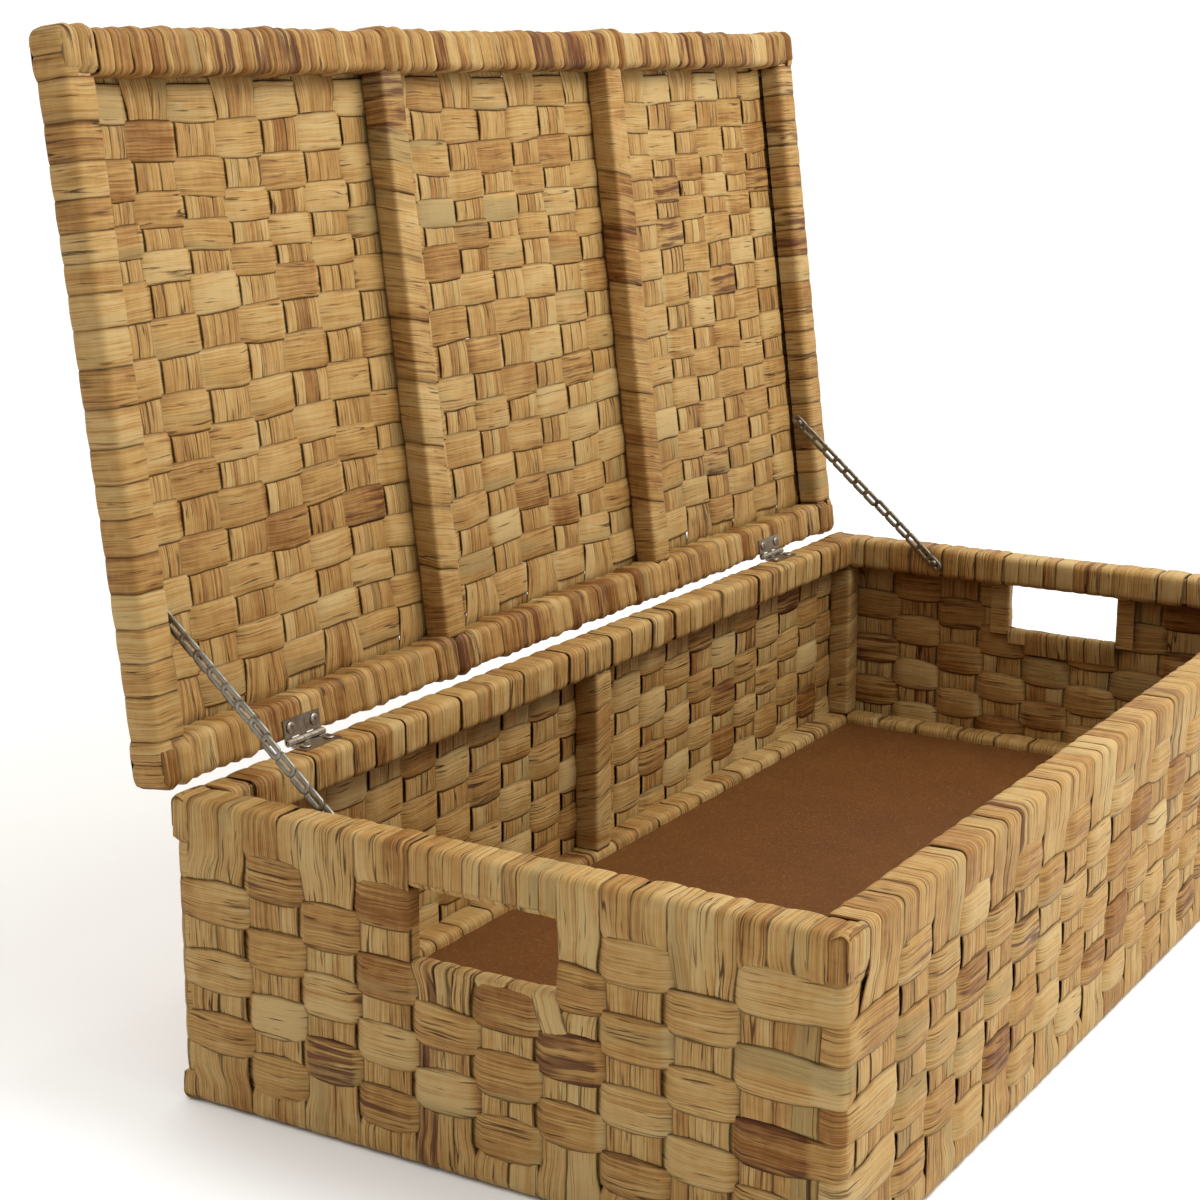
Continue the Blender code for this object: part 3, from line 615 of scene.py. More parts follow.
def strip_tree():
    """Sweeps a leaf strip along each planned line: crowned, thin, with wavering edges and a rippled face."""
    lengths = dict.fromkeys(("Thickness", "Ripple", "Waver"), "Float")
    inputs = {"Lines": "Geometry", **lengths, "Finish": "Material"}
    tree, build, given = new_tree("leaf strips", inputs, "Strips")
    lines = build.node("GeometryNodeMeshToCurve", {"Mesh": given["Lines"]}).outputs[0]
    spot = build.node("GeometryNodeInputPosition").outputs[0]
    lines = build.stored(lines, "centre", spot, "FLOAT_VECTOR")
    ring = build.node("GeometryNodeCurvePrimitiveCircle", {"Resolution": PROFILE_POINTS}).outputs[0]
    factor = build.node("GeometryNodeSplineParameter").outputs["Factor"]
    ring = build.stored(ring, "turn", factor)
    sweep = build.node("GeometryNodeCurveToMesh", {"Curve": lines, "Profile Curve": ring, "Fill Caps": True})
    mesh = sweep.outputs[0]

    def signed_power(value, power):
        """A power that keeps its sign, which squares off the ring."""
        size = build.math("POWER", build.math("ABSOLUTE", value), power)
        return build.math("MULTIPLY", build.math("SIGN", value), size)

    def swayed(spot, detail, reach):
        """Noise of about -1 to 1 at a spot, times a reach."""
        sway = build.math("SUBTRACT", build.noise(spot, detail), 0.5)
        return build.math("MULTIPLY", build.math("MULTIPLY", sway, 2.0), reach)

    angle = build.math("MULTIPLY", build.named("turn"), 2.0 * math.pi)
    across = signed_power(build.math("COSINE", angle), SQUARED_ACROSS)
    bulk = signed_power(build.math("SINE", angle), SQUARED_THROUGH)
    lift = build.math("MULTIPLY", build.math("MULTIPLY", bulk, given["Thickness"]), 0.5)
    run = build.named("run")
    number = build.named("strip_number")
    offset = build.math("MULTIPLY", across, build.named("half_width"))
    edge_spot = build.combine(
        build.math("MULTIPLY", run, WAVER_RATE),
        across,
        build.math("MULTIPLY", number, WAVER_SHIFT),
    )
    face_spot = build.combine(
        build.math("MULTIPLY", run, RIPPLE_RATE),
        build.math("MULTIPLY", offset, RIPPLE_RATE_ACROSS),
        build.math("MULTIPLY", number, RIPPLE_SHIFT),
    )
    sideways = build.math("ADD", offset, swayed(edge_spot, 2.0, given["Waver"]))
    arch = build.math("SUBTRACT", 1.0, build.math("MULTIPLY", across, across))
    rise = build.math("MULTIPLY", build.named("crown"), arch)
    rise = build.math("ADD", build.math("ADD", rise, lift), swayed(face_spot, 1.0, given["Ripple"]))
    place = build.named("centre", "FLOAT_VECTOR")
    for direction, distance in (("strip_side", sideways), ("strip_normal", rise)):
        shift = build.vector_math("SCALE", build.named(direction, "FLOAT_VECTOR"), distance)
        place = build.vector_math("ADD", place, shift)
    mesh = build.node("GeometryNodeSetPosition", {"Geometry": mesh, "Position": place}).outputs[0]
    row = build.math("MULTIPLY_ADD", number, PATTERN_SHIFT, offset)
    mesh = build.stored(mesh, "leaf", build.combine(run, row, 0.0), "FLOAT2", "CORNER")
    # How near its edge a point of a strip lies, which the leaf finish darkens as painted shade
    mesh = build.stored(mesh, "edge", build.math("ABSOLUTE", across))
    mesh = build.node("GeometryNodeSetShadeSmooth", {"Geometry": mesh}).outputs[0]
    end_tree(build, mesh, given["Finish"], "Strips")
    return tree


def baked(source, tree, values, name):
    """Runs a tree on an object and keeps its result as a plain mesh with faces out."""
    modifier = source.modifiers.new(tree.name, "NODES")
    modifier.node_group = tree
    for item in tree.interface.items_tree:
        if item.in_out == "INPUT" and item.name in values:
            modifier[item.identifier] = values[item.name]
    bpy.context.view_layer.update()
    graph = bpy.context.evaluated_depsgraph_get()
    mesh = bpy.data.meshes.new_from_object(source.evaluated_get(graph))
    bpy.data.objects.remove(source, do_unlink=True)
    shape = bmesh.new()
    shape.from_mesh(mesh)
    bmesh.ops.recalc_face_normals(shape, faces=shape.faces)
    shape.to_mesh(mesh)
    shape.free()
    mesh.name = name
    return linked(name, mesh)


def leaf_piece(plan, name, body, nodes, sizes):
    """Makes the strips of a plan into one piece that rides on a body and stands for CAD nodes."""
    source = linked(f"{name} lines", plan.mesh(f"{name} lines"))
    tree = bpy.data.node_groups.get("leaf strips") or strip_tree()
    values = {
        "Thickness": sizes.thickness,
        "Ripple": sizes.ripple,
        "Waver": sizes.waver,
        "Finish": leaf_finish(),
    }
    piece = baked(source, tree, values, name)
    for key in FLOAT_VALUES + VECTOR_VALUES + ("centre", "turn"):
        layer = piece.data.attributes.get(key)
        if layer is not None and key not in KEPT_VALUES:
            piece.data.attributes.remove(layer)
    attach(piece, body)
    if nodes:
        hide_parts(*nodes)
    return piece


def leaf_finish():
    """Dried leaf: tan of many shades, wandering fibres, slits, crinkles, streaks of purple brown and painted
    shade at strip edges.
    """
    found = bpy.data.materials.get("dried leaf")
    if found is not None:
        return found
    colours = bpy.context.scene.woven_colours
    material, build, shader = surface("dried leaf")
    place = build.node("ShaderNodeUVMap", uv_map="leaf").outputs[0]
    along_strip, across_strip = build.node("ShaderNodeSeparateXYZ", {0: place}).outputs[:2]
    shade, stain, ribbed, edge = (
        build.node("ShaderNodeAttribute", attribute_name=name).outputs["Fac"]
        for name in ("shade", "stain", "ribbed", "edge")
    )

    def stretched(along, across, detail, layer, row=across_strip):
        spot = build.combine(
            build.math("MULTIPLY", along_strip, along), build.math("MULTIPLY", row, across), layer
        )
        return build.noise(spot, detail)

    def varied(value, noise_value, share):
        return build.math("MULTIPLY_ADD", build.math("SUBTRACT", noise_value, 0.5), share, value)

    def washed(colour, wash, share):
        return build.blend(colour, tuple(wash), share)

    row = varied(across_strip, stretched(34.0, 60.0, 1.0, 41.7), 0.0030)
    fibre = stretched(16.0, 1050.0, 2.0, 0.0, row)
    ribs = stretched(9.0, 420.0, 2.0, 3.1, row)
    cloud = stretched(28.0, 62.0, 2.0, 7.7)
    streak = stretched(24.0, 330.0, 3.0, 11.3, row)
    dash = stretched(40.0, 620.0, 1.0, 17.9, row)
    drift = stretched(5.0, 140.0, 1.0, 23.5)
    gate = stretched(24.0, 130.0, 1.0, 27.3, row)
    green = stretched(4.0, 40.0, 1.0, 31.1)
    crinkle = stretched(240.0, 120.0, 2.0, 37.3)

    tone = varied(shade, cloud, 0.70)
    tone = varied(tone, ribs, build.math("MULTIPLY_ADD", ribbed, 0.35, 0.35))
    tone = varied(tone, fibre, 1.25)
    tone = varied(tone, crinkle, 0.25)
    stops = ((0.08, colours.brown), (0.36, colours.tan), (0.60, colours.golden), (0.92, colours.straw))
    colour = ramp_colours(build, tone, stops)
    colour = washed(colour, colours.sage, build.ramped(green, 0.60, 0.74, 0.0, 0.55))
    blot = build.math("MULTIPLY_ADD", stain, 0.23, streak)
    colour = washed(colour, colours.stain, build.ramped(blot, 0.66, 0.84, 0.0, 0.82))
    dashes = build.ramped(dash, 0.65, 0.76)
    phase = build.math("MULTIPLY_ADD", drift, 6.0, build.math("MULTIPLY", row, 170.0))
    away = build.math("ABSOLUTE", build.math("SUBTRACT", build.math("FRACT", phase), 0.5))
    slits = build.ramped(away, 0.015, 0.075, 1.0, 0.0)
    open_gate = build.math("MULTIPLY_ADD", ribbed, 0.14, gate)
    open_gate = build.math("MULTIPLY_ADD", stain, 0.09, open_gate)
    slits = build.math("MULTIPLY", slits, build.ramped(open_gate, 0.55, 0.76))
    colour = washed(colour, colours.fibre, build.math("MULTIPLY", dashes, 0.80))
    colour = washed(colour, colours.fibre, build.math("MULTIPLY", slits, 0.85))
    # Painted shade: the fibre colour washed over each strip's edges where strips meet, a little more on
    # stained strips
    rim = build.math("MULTIPLY_ADD", stain, 0.06, edge)
    colour = washed(colour, colours.fibre, build.ramped(rim, 0.82, 1.0, 0.0, 0.52))
    build.feed(shader.inputs["Base Color"], colour)
    roughened(build, shader, ribs, 0.50, 0.72)
    shader.inputs["Specular IOR Level"].default_value = 0.15

    height = build.math("MULTIPLY", ribs, build.math("MULTIPLY_ADD", ribbed, 0.6, 0.6))
    height = build.math("MULTIPLY_ADD", fibre, 0.45, height)
    height = build.math("MULTIPLY_ADD", crinkle, 0.40, height)
    height = build.math("MULTIPLY_ADD", slits, -0.8, height)
    height = build.math("MULTIPLY_ADD", dashes, -0.3, height)
    bumped(build, shader, 0.8, 0.0009, height)
    return material


class WallFace:
    """One wall of the box, seen from outside: along it, in through it and up it."""

    def __init__(self, name, half, origin, turn, columns):
        self.name = name
        self.half = half
        self.origin = Vector(origin)
        self.along = Vector((math.cos(turn), math.sin(turn), 0.0))
        self.inward = Vector((-math.sin(turn), math.cos(turn), 0.0))
        self.columns = columns
        self.is_end = half < HALF_LENGTH

    def spot(self, along, depth, height):
        return self.origin + self.along * along + self.inward * depth + Vector((0.0, 0.0, height))

    def station(self, along, depth, height, half, crown, shade, stain):
        """A point of a strip that goes up or over the wall, as a plan takes it."""
        return (self.spot(along, depth, height), self.along, half, crown, shade, stain)

    def near_hinge(self, along):
        return self.name == "back" and abs(abs(along) - HINGE_CENTRE) < HINGE_REACH


def wall_faces():
    """The four walls in the order in which a strip runs round the box."""
    return [
        WallFace("left", HALF_DEPTH, (-HALF_LENGTH, 0, 0), -math.pi / 2, LEFT_COLUMNS),
        WallFace("front", HALF_LENGTH, (0, -HALF_DEPTH, 0), 0.0, FRONT_COLUMNS),
        WallFace("right", HALF_DEPTH, (HALF_LENGTH, 0, 0), math.pi / 2, RIGHT_COLUMNS),
        WallFace("back", HALF_LENGTH, (0, HALF_DEPTH, 0), math.pi, BACK_COLUMNS),
    ]


def weft_is_over(row, column):
    """Whether the strip along the wall is outside the upright ones, rows and columns counted from 0."""
    return (row + column) % 2 == 1


def arc_points(centre, radius, start, end, steps=ARC_STEPS):
    """Points of an arc, angles in degrees."""
    points = []
    for step in range(steps + 1):
        angle = math.radians(mixed(start, end, step / steps))
        points.append((centre[0] + radius * math.cos(angle), centre[1] + radius * math.sin(angle)))
    return points


def spaced(low, high, step=STEP):
    """Even stations from low to high, both ends in."""
    count = max(1, round(abs(high - low) / step))
    return [mixed(low, high, index / count) for index in range(count + 1)]


def cell_tones(rng, share_stained=0.14):
    """Shade and stain of one visible stretch of strip."""
    shade = min(max(rng.gauss(SHADE_MEAN, SHADE_SPREAD), SHADE_RANGE[0]), SHADE_RANGE[1])
    stain = 0.0
    if rng.random() < share_stained:
        stain = rng.uniform(*STAIN_RANGE)
        shade -= STAIN_DARKENS * stain
    return shade, stain


def calm_tones(rng, share_stained):
    """The same of an upright strip, whose shade keeps nearer the middle."""
    shade, stain = cell_tones(rng, share_stained)
    return mixed(CALM_SHADE, shade, CALM_SHARE), stain


def wavering(number, place, scale):
    """Smooth noise of about -1 to 1 along a strip."""
    return noise.noise(Vector((place / scale, number * 7.31, 0.5)))


def jittered(rng, low, high, count, stray):
    """Edges of bands side by side, the inner ones moved a little."""
    edges = [mixed(low, high, step / count) for step in range(count + 1)]
    for step in range(1, count):
        edges[step] += rng.uniform(-stray, stray)
    return edges


def split_column(rng, three_share, stray):
    """The two or three strips of a column as shares of its width: (low, high)."""
    count = 3 if rng.random() < three_share else 2
    cuts = [(part + rng.uniform(-stray, stray)) / count for part in range(1, count)]
    return list(zip([0.0] + cuts, cuts + [1.0]))


def stops_along(ends, end_swing, end_reach, centres, overs, reach):
    """Where a strip lies over (swing 1) or under (-1), with the flat reach of each: (place, swing, reach)."""
    stops = [(ends[0], end_swing, end_reach)]
    stops += [(centre, 1.0 if over else -1.0, reach) for centre, over in zip(centres, overs)]
    stops.append((ends[1], end_swing, end_reach))
    return stops


def swing_at(stops, place):
    """How far over (1) or under (-1) a strip is at a place, and which stop is nearest."""
    for index in range(len(stops) - 1):
        low, low_swing, low_reach = stops[index]
        high, high_swing, high_reach = stops[index + 1]
        if place <= high or index == len(stops) - 2:
            start = low + low_reach
            end = high - high_reach
            share = eased((place - start) / max(end - start, 1e-6))
            return mixed(low_swing, high_swing, share), index if share < 0.5 else index + 1
    raise ValueError("a place outside the strip")


def weft_half_width(widest, swing, neck, away):
    """Half width of a strip, widest in the middle of a cell and drawn in to its neck where it dives."""
    wide = 1.0 - (1.0 - abs(swing)) ** NECK_POWER
    barrel = 1.0 - BARREL * min(away / CELL_HALF, 1.0) ** 2
    return mixed(neck, max(widest, neck), wide * barrel)


def row_necks(rows):
    """Half widths at which each row laps the next ones where they all dive."""
    gaps = [abs(high - low) for low, high in zip(rows, rows[1:])]
    necks = []
    for index in range(len(rows)):
        necks.append(max(gaps[max(index - 1, 0)], gaps[min(index, len(gaps) - 1)]) / 2 + ROW_LAP)
    return necks


def weft_rows(sizes):
    """Strips that run round the box, split where a hand hole cuts them."""
    faces = wall_faces()
    plans = [StripPlan(100), StripPlan(200)]
    down = Vector((0.0, 0.0, -1.0))
    necks = row_necks(WALL_ROWS)
    for row, level in enumerate(WALL_ROWS):
        rng = random.Random(900 + row)
        plan = plans[0] if row < UPPER_ROWS else plans[1]
        is_cut = level > HOLE_SILL
        runs = []
        current = []
        tones = {}
        for face in faces:
            for index in range(-1, len(face.columns) + 1):
                tones[face.name, index] = cell_tones(rng)

        def station(face, place, swing, column, at_corner=False, angle=None, away=0.0):
            spot = face.spot(place, 0, level)
            lean = noise.noise(Vector((spot.x * SLOW_RATE, spot.y * SLOW_RATE, level * LEVEL_RATE)))
            own = noise.noise(Vector((spot.x * QUICK_RATE, spot.y * QUICK_RATE, row * ROW_SHIFT)))
            height = level + SLOW_WANDER * lean + QUICK_WANDER * own
            depth = sizes.weave_depth - sizes.weft_swing * swing
            half = necks[row]
            if not at_corner:
                half = weft_half_width(sizes.weft_half, swing, half, away)
                half *= WEFT_WIDENING + WIDTH_VARIES * own
            point = face.spot(place, depth, height)
            crown = sizes.weft_crown * swing
            if angle is not None:
                middle = face.spot(face.half - CORNER_RADIUS, CORNER_RADIUS, height)
                outward = face.along * math.sin(angle) - face.inward * math.cos(angle)
                point = middle + outward * (CORNER_RADIUS - depth)
                crown = CORNER_CROWN
            return (point, down, half, crown, *tones[face.name, column])

        def turned_in(face, sign):
            """The end of a cut strip, from its tip inside the wall out to the hole's side."""
            ends = []
            for place in HOLE_TUCK:
                base = station(face, sign * (HOLE_HALF + place), 0.0, HOLE_COLUMNS[sign])
                ends.append((face.spot(sign * (HOLE_HALF + place), HOLE_DEPTH, level), *base[1:]))
            for depth in HOLE_TURN:
                base = station(face, sign * HOLE_HALF, 0.0, HOLE_COLUMNS[sign])
                ends.append((face.spot(sign * (HOLE_HALF + HOLE_SIDE_SKIN), depth, level), *base[1:]))
            return ends

        for face in faces:
            last = len(face.columns)
            overs = [weft_is_over(row, column) for column in range(last)]
            ends = (-face.half, face.half)
            stops = stops_along(ends, CORNER_SWING, CORNER_REACH, face.columns, overs, CELL_REACH)
            reach = face.half - CORNER_RADIUS
            beside = HOLE_HALF + HOLE_CLEARANCE
            spans = [(-reach, -beside), (beside, reach)] if face.is_end and is_cut else [(-reach, reach)]
            for number, (low, high) in enumerate(spans):
                if number == 1:
                    current += reversed(turned_in(face, -1))
                    runs.append(current)
                    current = turned_in(face, 1)
                for place in spaced(low, high):
                    swing, nearest = swing_at(stops, place)
                    at_corner = nearest in (0, last + 1)
                    away = abs(place - stops[nearest][0])
                    current.append(station(face, place, swing, nearest - 1, at_corner, None, away))
            for step in range(1, CORNER_STEPS):
                angle = math.radians(90.0 * step / CORNER_STEPS)
                current.append(station(face, face.half, CORNER_SWING, last, True, angle))
        if runs:
            runs.append(current + runs.pop(0))
            for run in runs:
                plan.add(run, WEFT_RIBS)
        else:
            plan.add(current, WEFT_RIBS, closed=True)
    return plans


def column_shares(face):
    """For each column its shares of the rim and of the foot, and the stretches that no column covers."""
    shares = []
    corners = []
    columns = face.columns
    for index, centre in enumerate(columns):
        low = centre - WIDEST_SHARE if index == 0 else (columns[index - 1] + centre) / 2
        high = centre + WIDEST_SHARE if index == len(columns) - 1 else (columns[index + 1] + centre) / 2
        foot = (max(low, -face.half), min(high, face.half))
        shares.append((beside_hole(face, *foot), foot))
    if shares[0][1][0] > -face.half:
        corners.append((-face.half, shares[0][1][0]))
    if shares[-1][1][1] < face.half:
        corners.append((shares[-1][1][1], face.half))
    return shares, corners


def beside_hole(face, low, high):
    """A stretch of an end wall, cut back to the side of the hand hole."""
    if face.is_end and low < -HOLE_HALF < high:
        return low, -HOLE_HALF
    if face.is_end and low < HOLE_HALF < high:
        return HOLE_HALF, high
    return low, high


def rim_section(sizes, lowest):
    """Up the outside of the rim, over its rail, down inside and tucked in under it: (depth, height)."""
    radius = sizes.rounding
    outer = radius - SKIN
    top = BOX_HEIGHT - radius
    far = RAIL_WIDTH - radius
    points = [(SKIN, height) for height in spaced(lowest, top - 0.001, 0.006)]
    points += arc_points((radius, top), outer, 180, 90)
    points += [(mixed(radius, far, share), BOX_HEIGHT - SKIN) for share in (0.35, 0.65)]
    points += arc_points((far, top), outer, 90, 0)
    points += [(RAIL_WIDTH - SKIN, height) for height in (0.162, 0.157)]
    points += arc_points((far, RIM_LEVEL + radius), outer, 0, -90)
    points += [(0.013, RIM_LEVEL + SKIN), (0.0085, RIM_LEVEL + SKIN)]
    return points


def base_section(sizes):
    """Under the bottom rail from its ledge and up round its outer edge: (depth, height)."""
    radius = sizes.rounding
    foot = 0.0010
    inner = LEDGE_REACH - 0.0006
    points = [(inner, 0.011), (inner, 0.006)]
    points += arc_points((LEDGE_REACH - radius, radius + foot), radius - SKIN, 0, -90)
    points += [(mixed(LEDGE_REACH - radius, radius, share), foot + SKIN) for share in (0.3, 0.6)]
    points += arc_points((radius, radius + foot), radius - SKIN, -90, -180)
    return points


def upright(plan, face, sizes, rng, index, share, low_part, high_part):
    """One strip of a column: from under the bottom rail up the weave and over the rim, or to a sill."""
    number = plan.number
    centre = face.columns[index]
    portion = (low_part + high_part) / 2
    portion_half = (high_part - low_part) / 2
    rim, foot = share
    rim_place = mixed(*rim, portion)
    rim_half = (rim[1] - rim[0]) * portion_half + WIDE_LAP
    foot_place = mixed(*foot, portion)
    foot_half = (foot[1] - foot[0]) * portion_half + WIDE_LAP
    span = (
        centre - sizes.column_width / 2 - CORNER_SPREAD * (index == 0),
        centre + sizes.column_width / 2 + CORNER_SPREAD * (index == len(face.columns) - 1),
    )
    cut_span = beside_hole(face, *span)
    is_sill = face.is_end and abs(centre) < SILL_REACH
    sill = (-HOLE_HALF, SILL_SPLIT) if centre < 0 else (SILL_SPLIT, SILL_END)
    sill_place = mixed(*sill, portion)
    sill_half = (sill[1] - sill[0]) * portion_half
    shade, stain = calm_tones(rng, 0.10)
    slant = rng.uniform(-RIM_SLANT, RIM_SLANT)
    rim_crown = sizes.wrap_crown * rng.uniform(0.7, 1.9)
    if face.near_hinge(rim_place):
        rim_crown = HINGE_CROWN * sizes.wrap_crown
    stations = []

    def put(along, depth, height, half, crown):
        tone = shade + TONE_WANDER * wavering(number, height, TONE_RUN)
        stations.append(face.station(along, depth, height, half, crown, tone, stain))

    for depth, height in base_section(sizes):
        put(foot_place, depth, height, foot_half, sizes.wrap_crown * 0.5)
    rows = list(reversed(range(len(WALL_ROWS))))
    levels = [WALL_ROWS[row] for row in rows]
    overs = [not weft_is_over(row, index) for row in rows]
    stops = stops_along((0.0, BOX_HEIGHT), 1.0, UPRIGHT_END_REACH, levels, overs, ROW_REACH)
    rim_foot = RIM_FOOT_COVERED if weft_is_over(0, index) else RIM_FOOT_FREE
    top = HOLE_SILL - 0.003 if is_sill else RIM_LEVEL + 0.001
    for height in spaced(UPRIGHT_START, top, UPRIGHT_STEP):
        swing = swing_at(stops, height)[0]
        to_base = 1.0 - risen(height, BASE_BLEND)
        to_hole = risen(height, HOLE_BLEND)
        to_rim = 0.0
        to_face = to_base
        if not is_sill:
            to_rim = risen(height, (rim_foot, RIM_LEVEL - 0.001 - rim_foot))
            to_face = max(risen(height, RIM_BLEND), to_base)
        low = mixed(span[0], cut_span[0], to_hole)
        high = mixed(span[1], cut_span[1], to_hole)
        along = mixed(mixed(mixed(low, high, portion), rim_place, to_rim), foot_place, to_base)
        half = (high - low) * portion_half + LAP
        half = mixed(mixed(half, rim_half, to_rim), foot_half, to_base)
        depth = mixed(sizes.weave_depth - sizes.warp_swing * swing, SKIN, to_face)
        if is_sill:
            to_sill = risen(height, SILL_BLEND)
            along = mixed(along, sill_place, to_sill)
            half = mixed(half, sill_half, to_sill)
            depth = mixed(depth, SILL_SKIN, to_sill)
        along += STRAY * wavering(number, height, STRAY_RUN)
        put(along, depth, height, half, sizes.warp_crown)
    if is_sill:
        level = HOLE_SILL - SILL_RADIUS
        over_sill = arc_points((SILL_RADIUS, level), SILL_BEND, 170, 90, 3)
        over_sill += arc_points((HOLE_DEPTH - SILL_RADIUS, level), SILL_BEND, 90, 0, 3)
        for depth, height in over_sill + list(SILL_INSIDE):
            put(sill_place, depth, height, sill_half, sizes.warp_crown)
    else:
        section = rim_section(sizes, RIM_LEVEL + 0.005)
        for order, (depth, height) in enumerate(section):
            along = rim_place + slant * order / len(section) * 2
            put(along, depth, height, rim_half, rim_crown)
    plan.add(stations, UPRIGHT_RIBS)


def corner_stretches(face, low, high):
    """A stretch by a corner, split where the other wall's rim begins."""
    corner = face.half - RAIL_WIDTH
    if low < -corner < high:
        return [(low, -corner), (-corner, high)]
    if low < corner < high:
        return [(low, corner), (corner, high)]
    return [(low, high)]


def corner_rims(plan, face, sizes, rng, low, high):
    """Strips over the rim and round the foot of a corner, beside the last column."""
    count = max(1, round((high - low) / CORNER_STRIP))
    half = (high - low) / count / 2 + LAP
    section = rim_section(sizes, RIM_LEVEL)
    foot = base_section(sizes)
    in_corner = abs(low + high) / 2 > face.half - RAIL_WIDTH
    if not face.is_end and in_corner:
        section = [
            (depth - CORNER_LIFT, height + CORNER_LIFT)
            for depth, height in section
            if depth < 0.013 and height > RIM_LEVEL + 0.001
        ]
        section[-1] = (section[-1][0], section[-1][1] - 0.0025)
        foot = [(depth - 0.0003, height - 0.0002) for depth, height in foot if depth < 0.016]
        foot[0] = (foot[0][0], foot[0][1] + 0.0025)
    for part in range(count):
        along = mixed(low, high, (part + 0.5) / count)
        shade, stain = cell_tones(rng, 0.3)
        tucked = min(max(along, CORNER_TUCK + half - face.half), face.half - half - CORNER_TUCK)
        rim = [(tucked, TUCK_DEPTH, 0.139, 0.0002), (mixed(along, tucked, 0.5), 0.0022, 0.1445, FLAT_CROWN)]
        rim += [(along, depth, height, sizes.wrap_crown * 0.8) for depth, height in section]
        base = [(along, depth, height, FLAT_CROWN) for depth, height in foot]
        base += [(along, 0.0004, 0.010, FLAT_CROWN), (along, 0.0012, 0.0150, FLAT_CROWN)]
        base += [(tucked, TUCK_DEPTH, 0.022, FLAT_CROWN)]
        for strip in (rim, base):
            stations = []
            for place, depth, height, crown in strip:
                tones = (shade - CORNER_DARKENS, stain)
                stations.append(face.station(place, depth, height, half, crown, *tones))
            plan.add(stations, UPRIGHT_RIBS)


def base_bands(plan, face, sizes, rng):
    """Bands wrapped over the bottom rail, seen inside above the board."""
    radius = sizes.rounding
    reach = face.half - RAIL_WIDTH + 0.001
    edges = jittered(rng, -reach, reach, round(2 * reach / BAND_PITCH), BAND_STRAY)
    top = BASE_RAIL_HEIGHT - SKIN
    inner = RAIL_WIDTH - SKIN
    section = [(0.0052, top), (0.011, top), (0.016, top)]
    section += arc_points((RAIL_WIDTH - radius, BASE_RAIL_HEIGHT - radius), radius - SKIN, 90, 0)
    section += [(inner, 0.0185), (inner, 0.0165)]
    for low, high in zip(edges, edges[1:]):
        shade, stain = cell_tones(rng, 0.08)
        slant = rng.uniform(-BAND_STRAY, BAND_STRAY)
        half = (high - low) / 2 + FINE_LAP
        stations = []
        for order, (depth, height) in enumerate(section):
            along = (low + high) / 2 + slant * (order / len(section) - 0.5)
            stations.append(face.station(along, depth, height, half, BAND_CROWN, shade - BAND_DARKENS, stain))
        plan.add(stations, WRAP_RIBS)


def rim_loops(plan, face, sizes, rng):
    """Straight strips wrapped right round the rail above a hand hole."""
    radius = sizes.rounding
    edges = jittered(rng, -HOLE_HALF, HOLE_HALF, LOOP_COUNT, LOOP_STRAY)
    section = rim_section(sizes, RIM_LEVEL + radius)[:-2]
    section += arc_points((radius, RIM_LEVEL + radius), radius - SKIN, -90, -165)
    for low, high in zip(edges, edges[1:]):
        shade, stain = cell_tones(rng, 0.05)
        half = (high - low) / 2 + FINE_LAP
        looks = (half, sizes.wrap_crown * LOOP_CROWN, shade + LOOP_LIGHTENS, stain)
        stations = [face.station((low + high) / 2, *spot, *looks) for spot in section]
        plan.add(stations, SMOOTH_RIBS, closed=True)


class BOX_OT_woven_walls(bpy.types.Operator):
    """Weaves the four walls, with the strips that go over the rim and under the bottom rails."""

    bl_idname = "woven_box.walls"
    bl_label = "Woven walls"

    def execute(self, context):
        sizes = context.scene.woven_sizes
        upper, lower = weft_rows(sizes)
        leaf_piece(upper, "weft_rows_upper", "box", (), sizes)
        leaf_piece(lower, "weft_rows_lower", "box", (), sizes)
        for order, face in enumerate(wall_faces()):
            rng = random.Random(40 + order)
            plan = StripPlan(1000 + 400 * order)
            shares, corners = column_shares(face)
            for index, share in enumerate(shares):
                for low, high in split_column(rng, WALL_THREE_SHARE, WALL_CUT_STRAY):
                    upright(plan, face, sizes, rng, index, share, low, high)
            for low, high in corners:
                for first, last in corner_stretches(face, low, high):
                    corner_rims(plan, face, sizes, rng, first, last)
            base_bands(plan, face, sizes, rng)
            kind = "end" if face.is_end else "wall"
            name = f"{face.name}_upright_strips"
            leaf_piece(plan, name, "box", [f"{face.name}_woven_{kind}"], sizes)
        return {"FINISHED"}


class BOX_OT_hand_holes(bpy.types.Operator):
    """Wraps the rail above each hand hole and lines its sides."""

    bl_idname = "woven_box.hand_holes"
    bl_label = "Hand holes"

    def execute(self, context):
        sizes = context.scene.woven_sizes
        for order, face in enumerate(face for face in wall_faces() if face.is_end):
            rng = random.Random(70 + order)
            plan = StripPlan(3000 + 100 * order)
            rim_loops(plan, face, sizes, rng)
            over_sill = arc_points((0.0030, 0.1072), 0.0028, 160, 90, 3)
            over_sill += arc_points((0.0070, 0.1072), 0.0028, 90, 0, 3)
            over_sill.append((0.0094, 0.100))
            path = list(LEANING_STRIP) + [(LEANING_OVER, depth, height) for depth, height in over_sill]
            tones = cell_tones(rng, 0.0)
            stations = [face.station(*spot, LEANING_HALF, LEANING_CROWN, *tones) for spot in path]
            plan.add(stations, WRAP_RIBS)
            leaf_piece(plan, f"{face.name}_hand_hole_wraps", "box", [f"{face.name}_hand_hole_frame"], sizes)
        return {"FINISHED"}


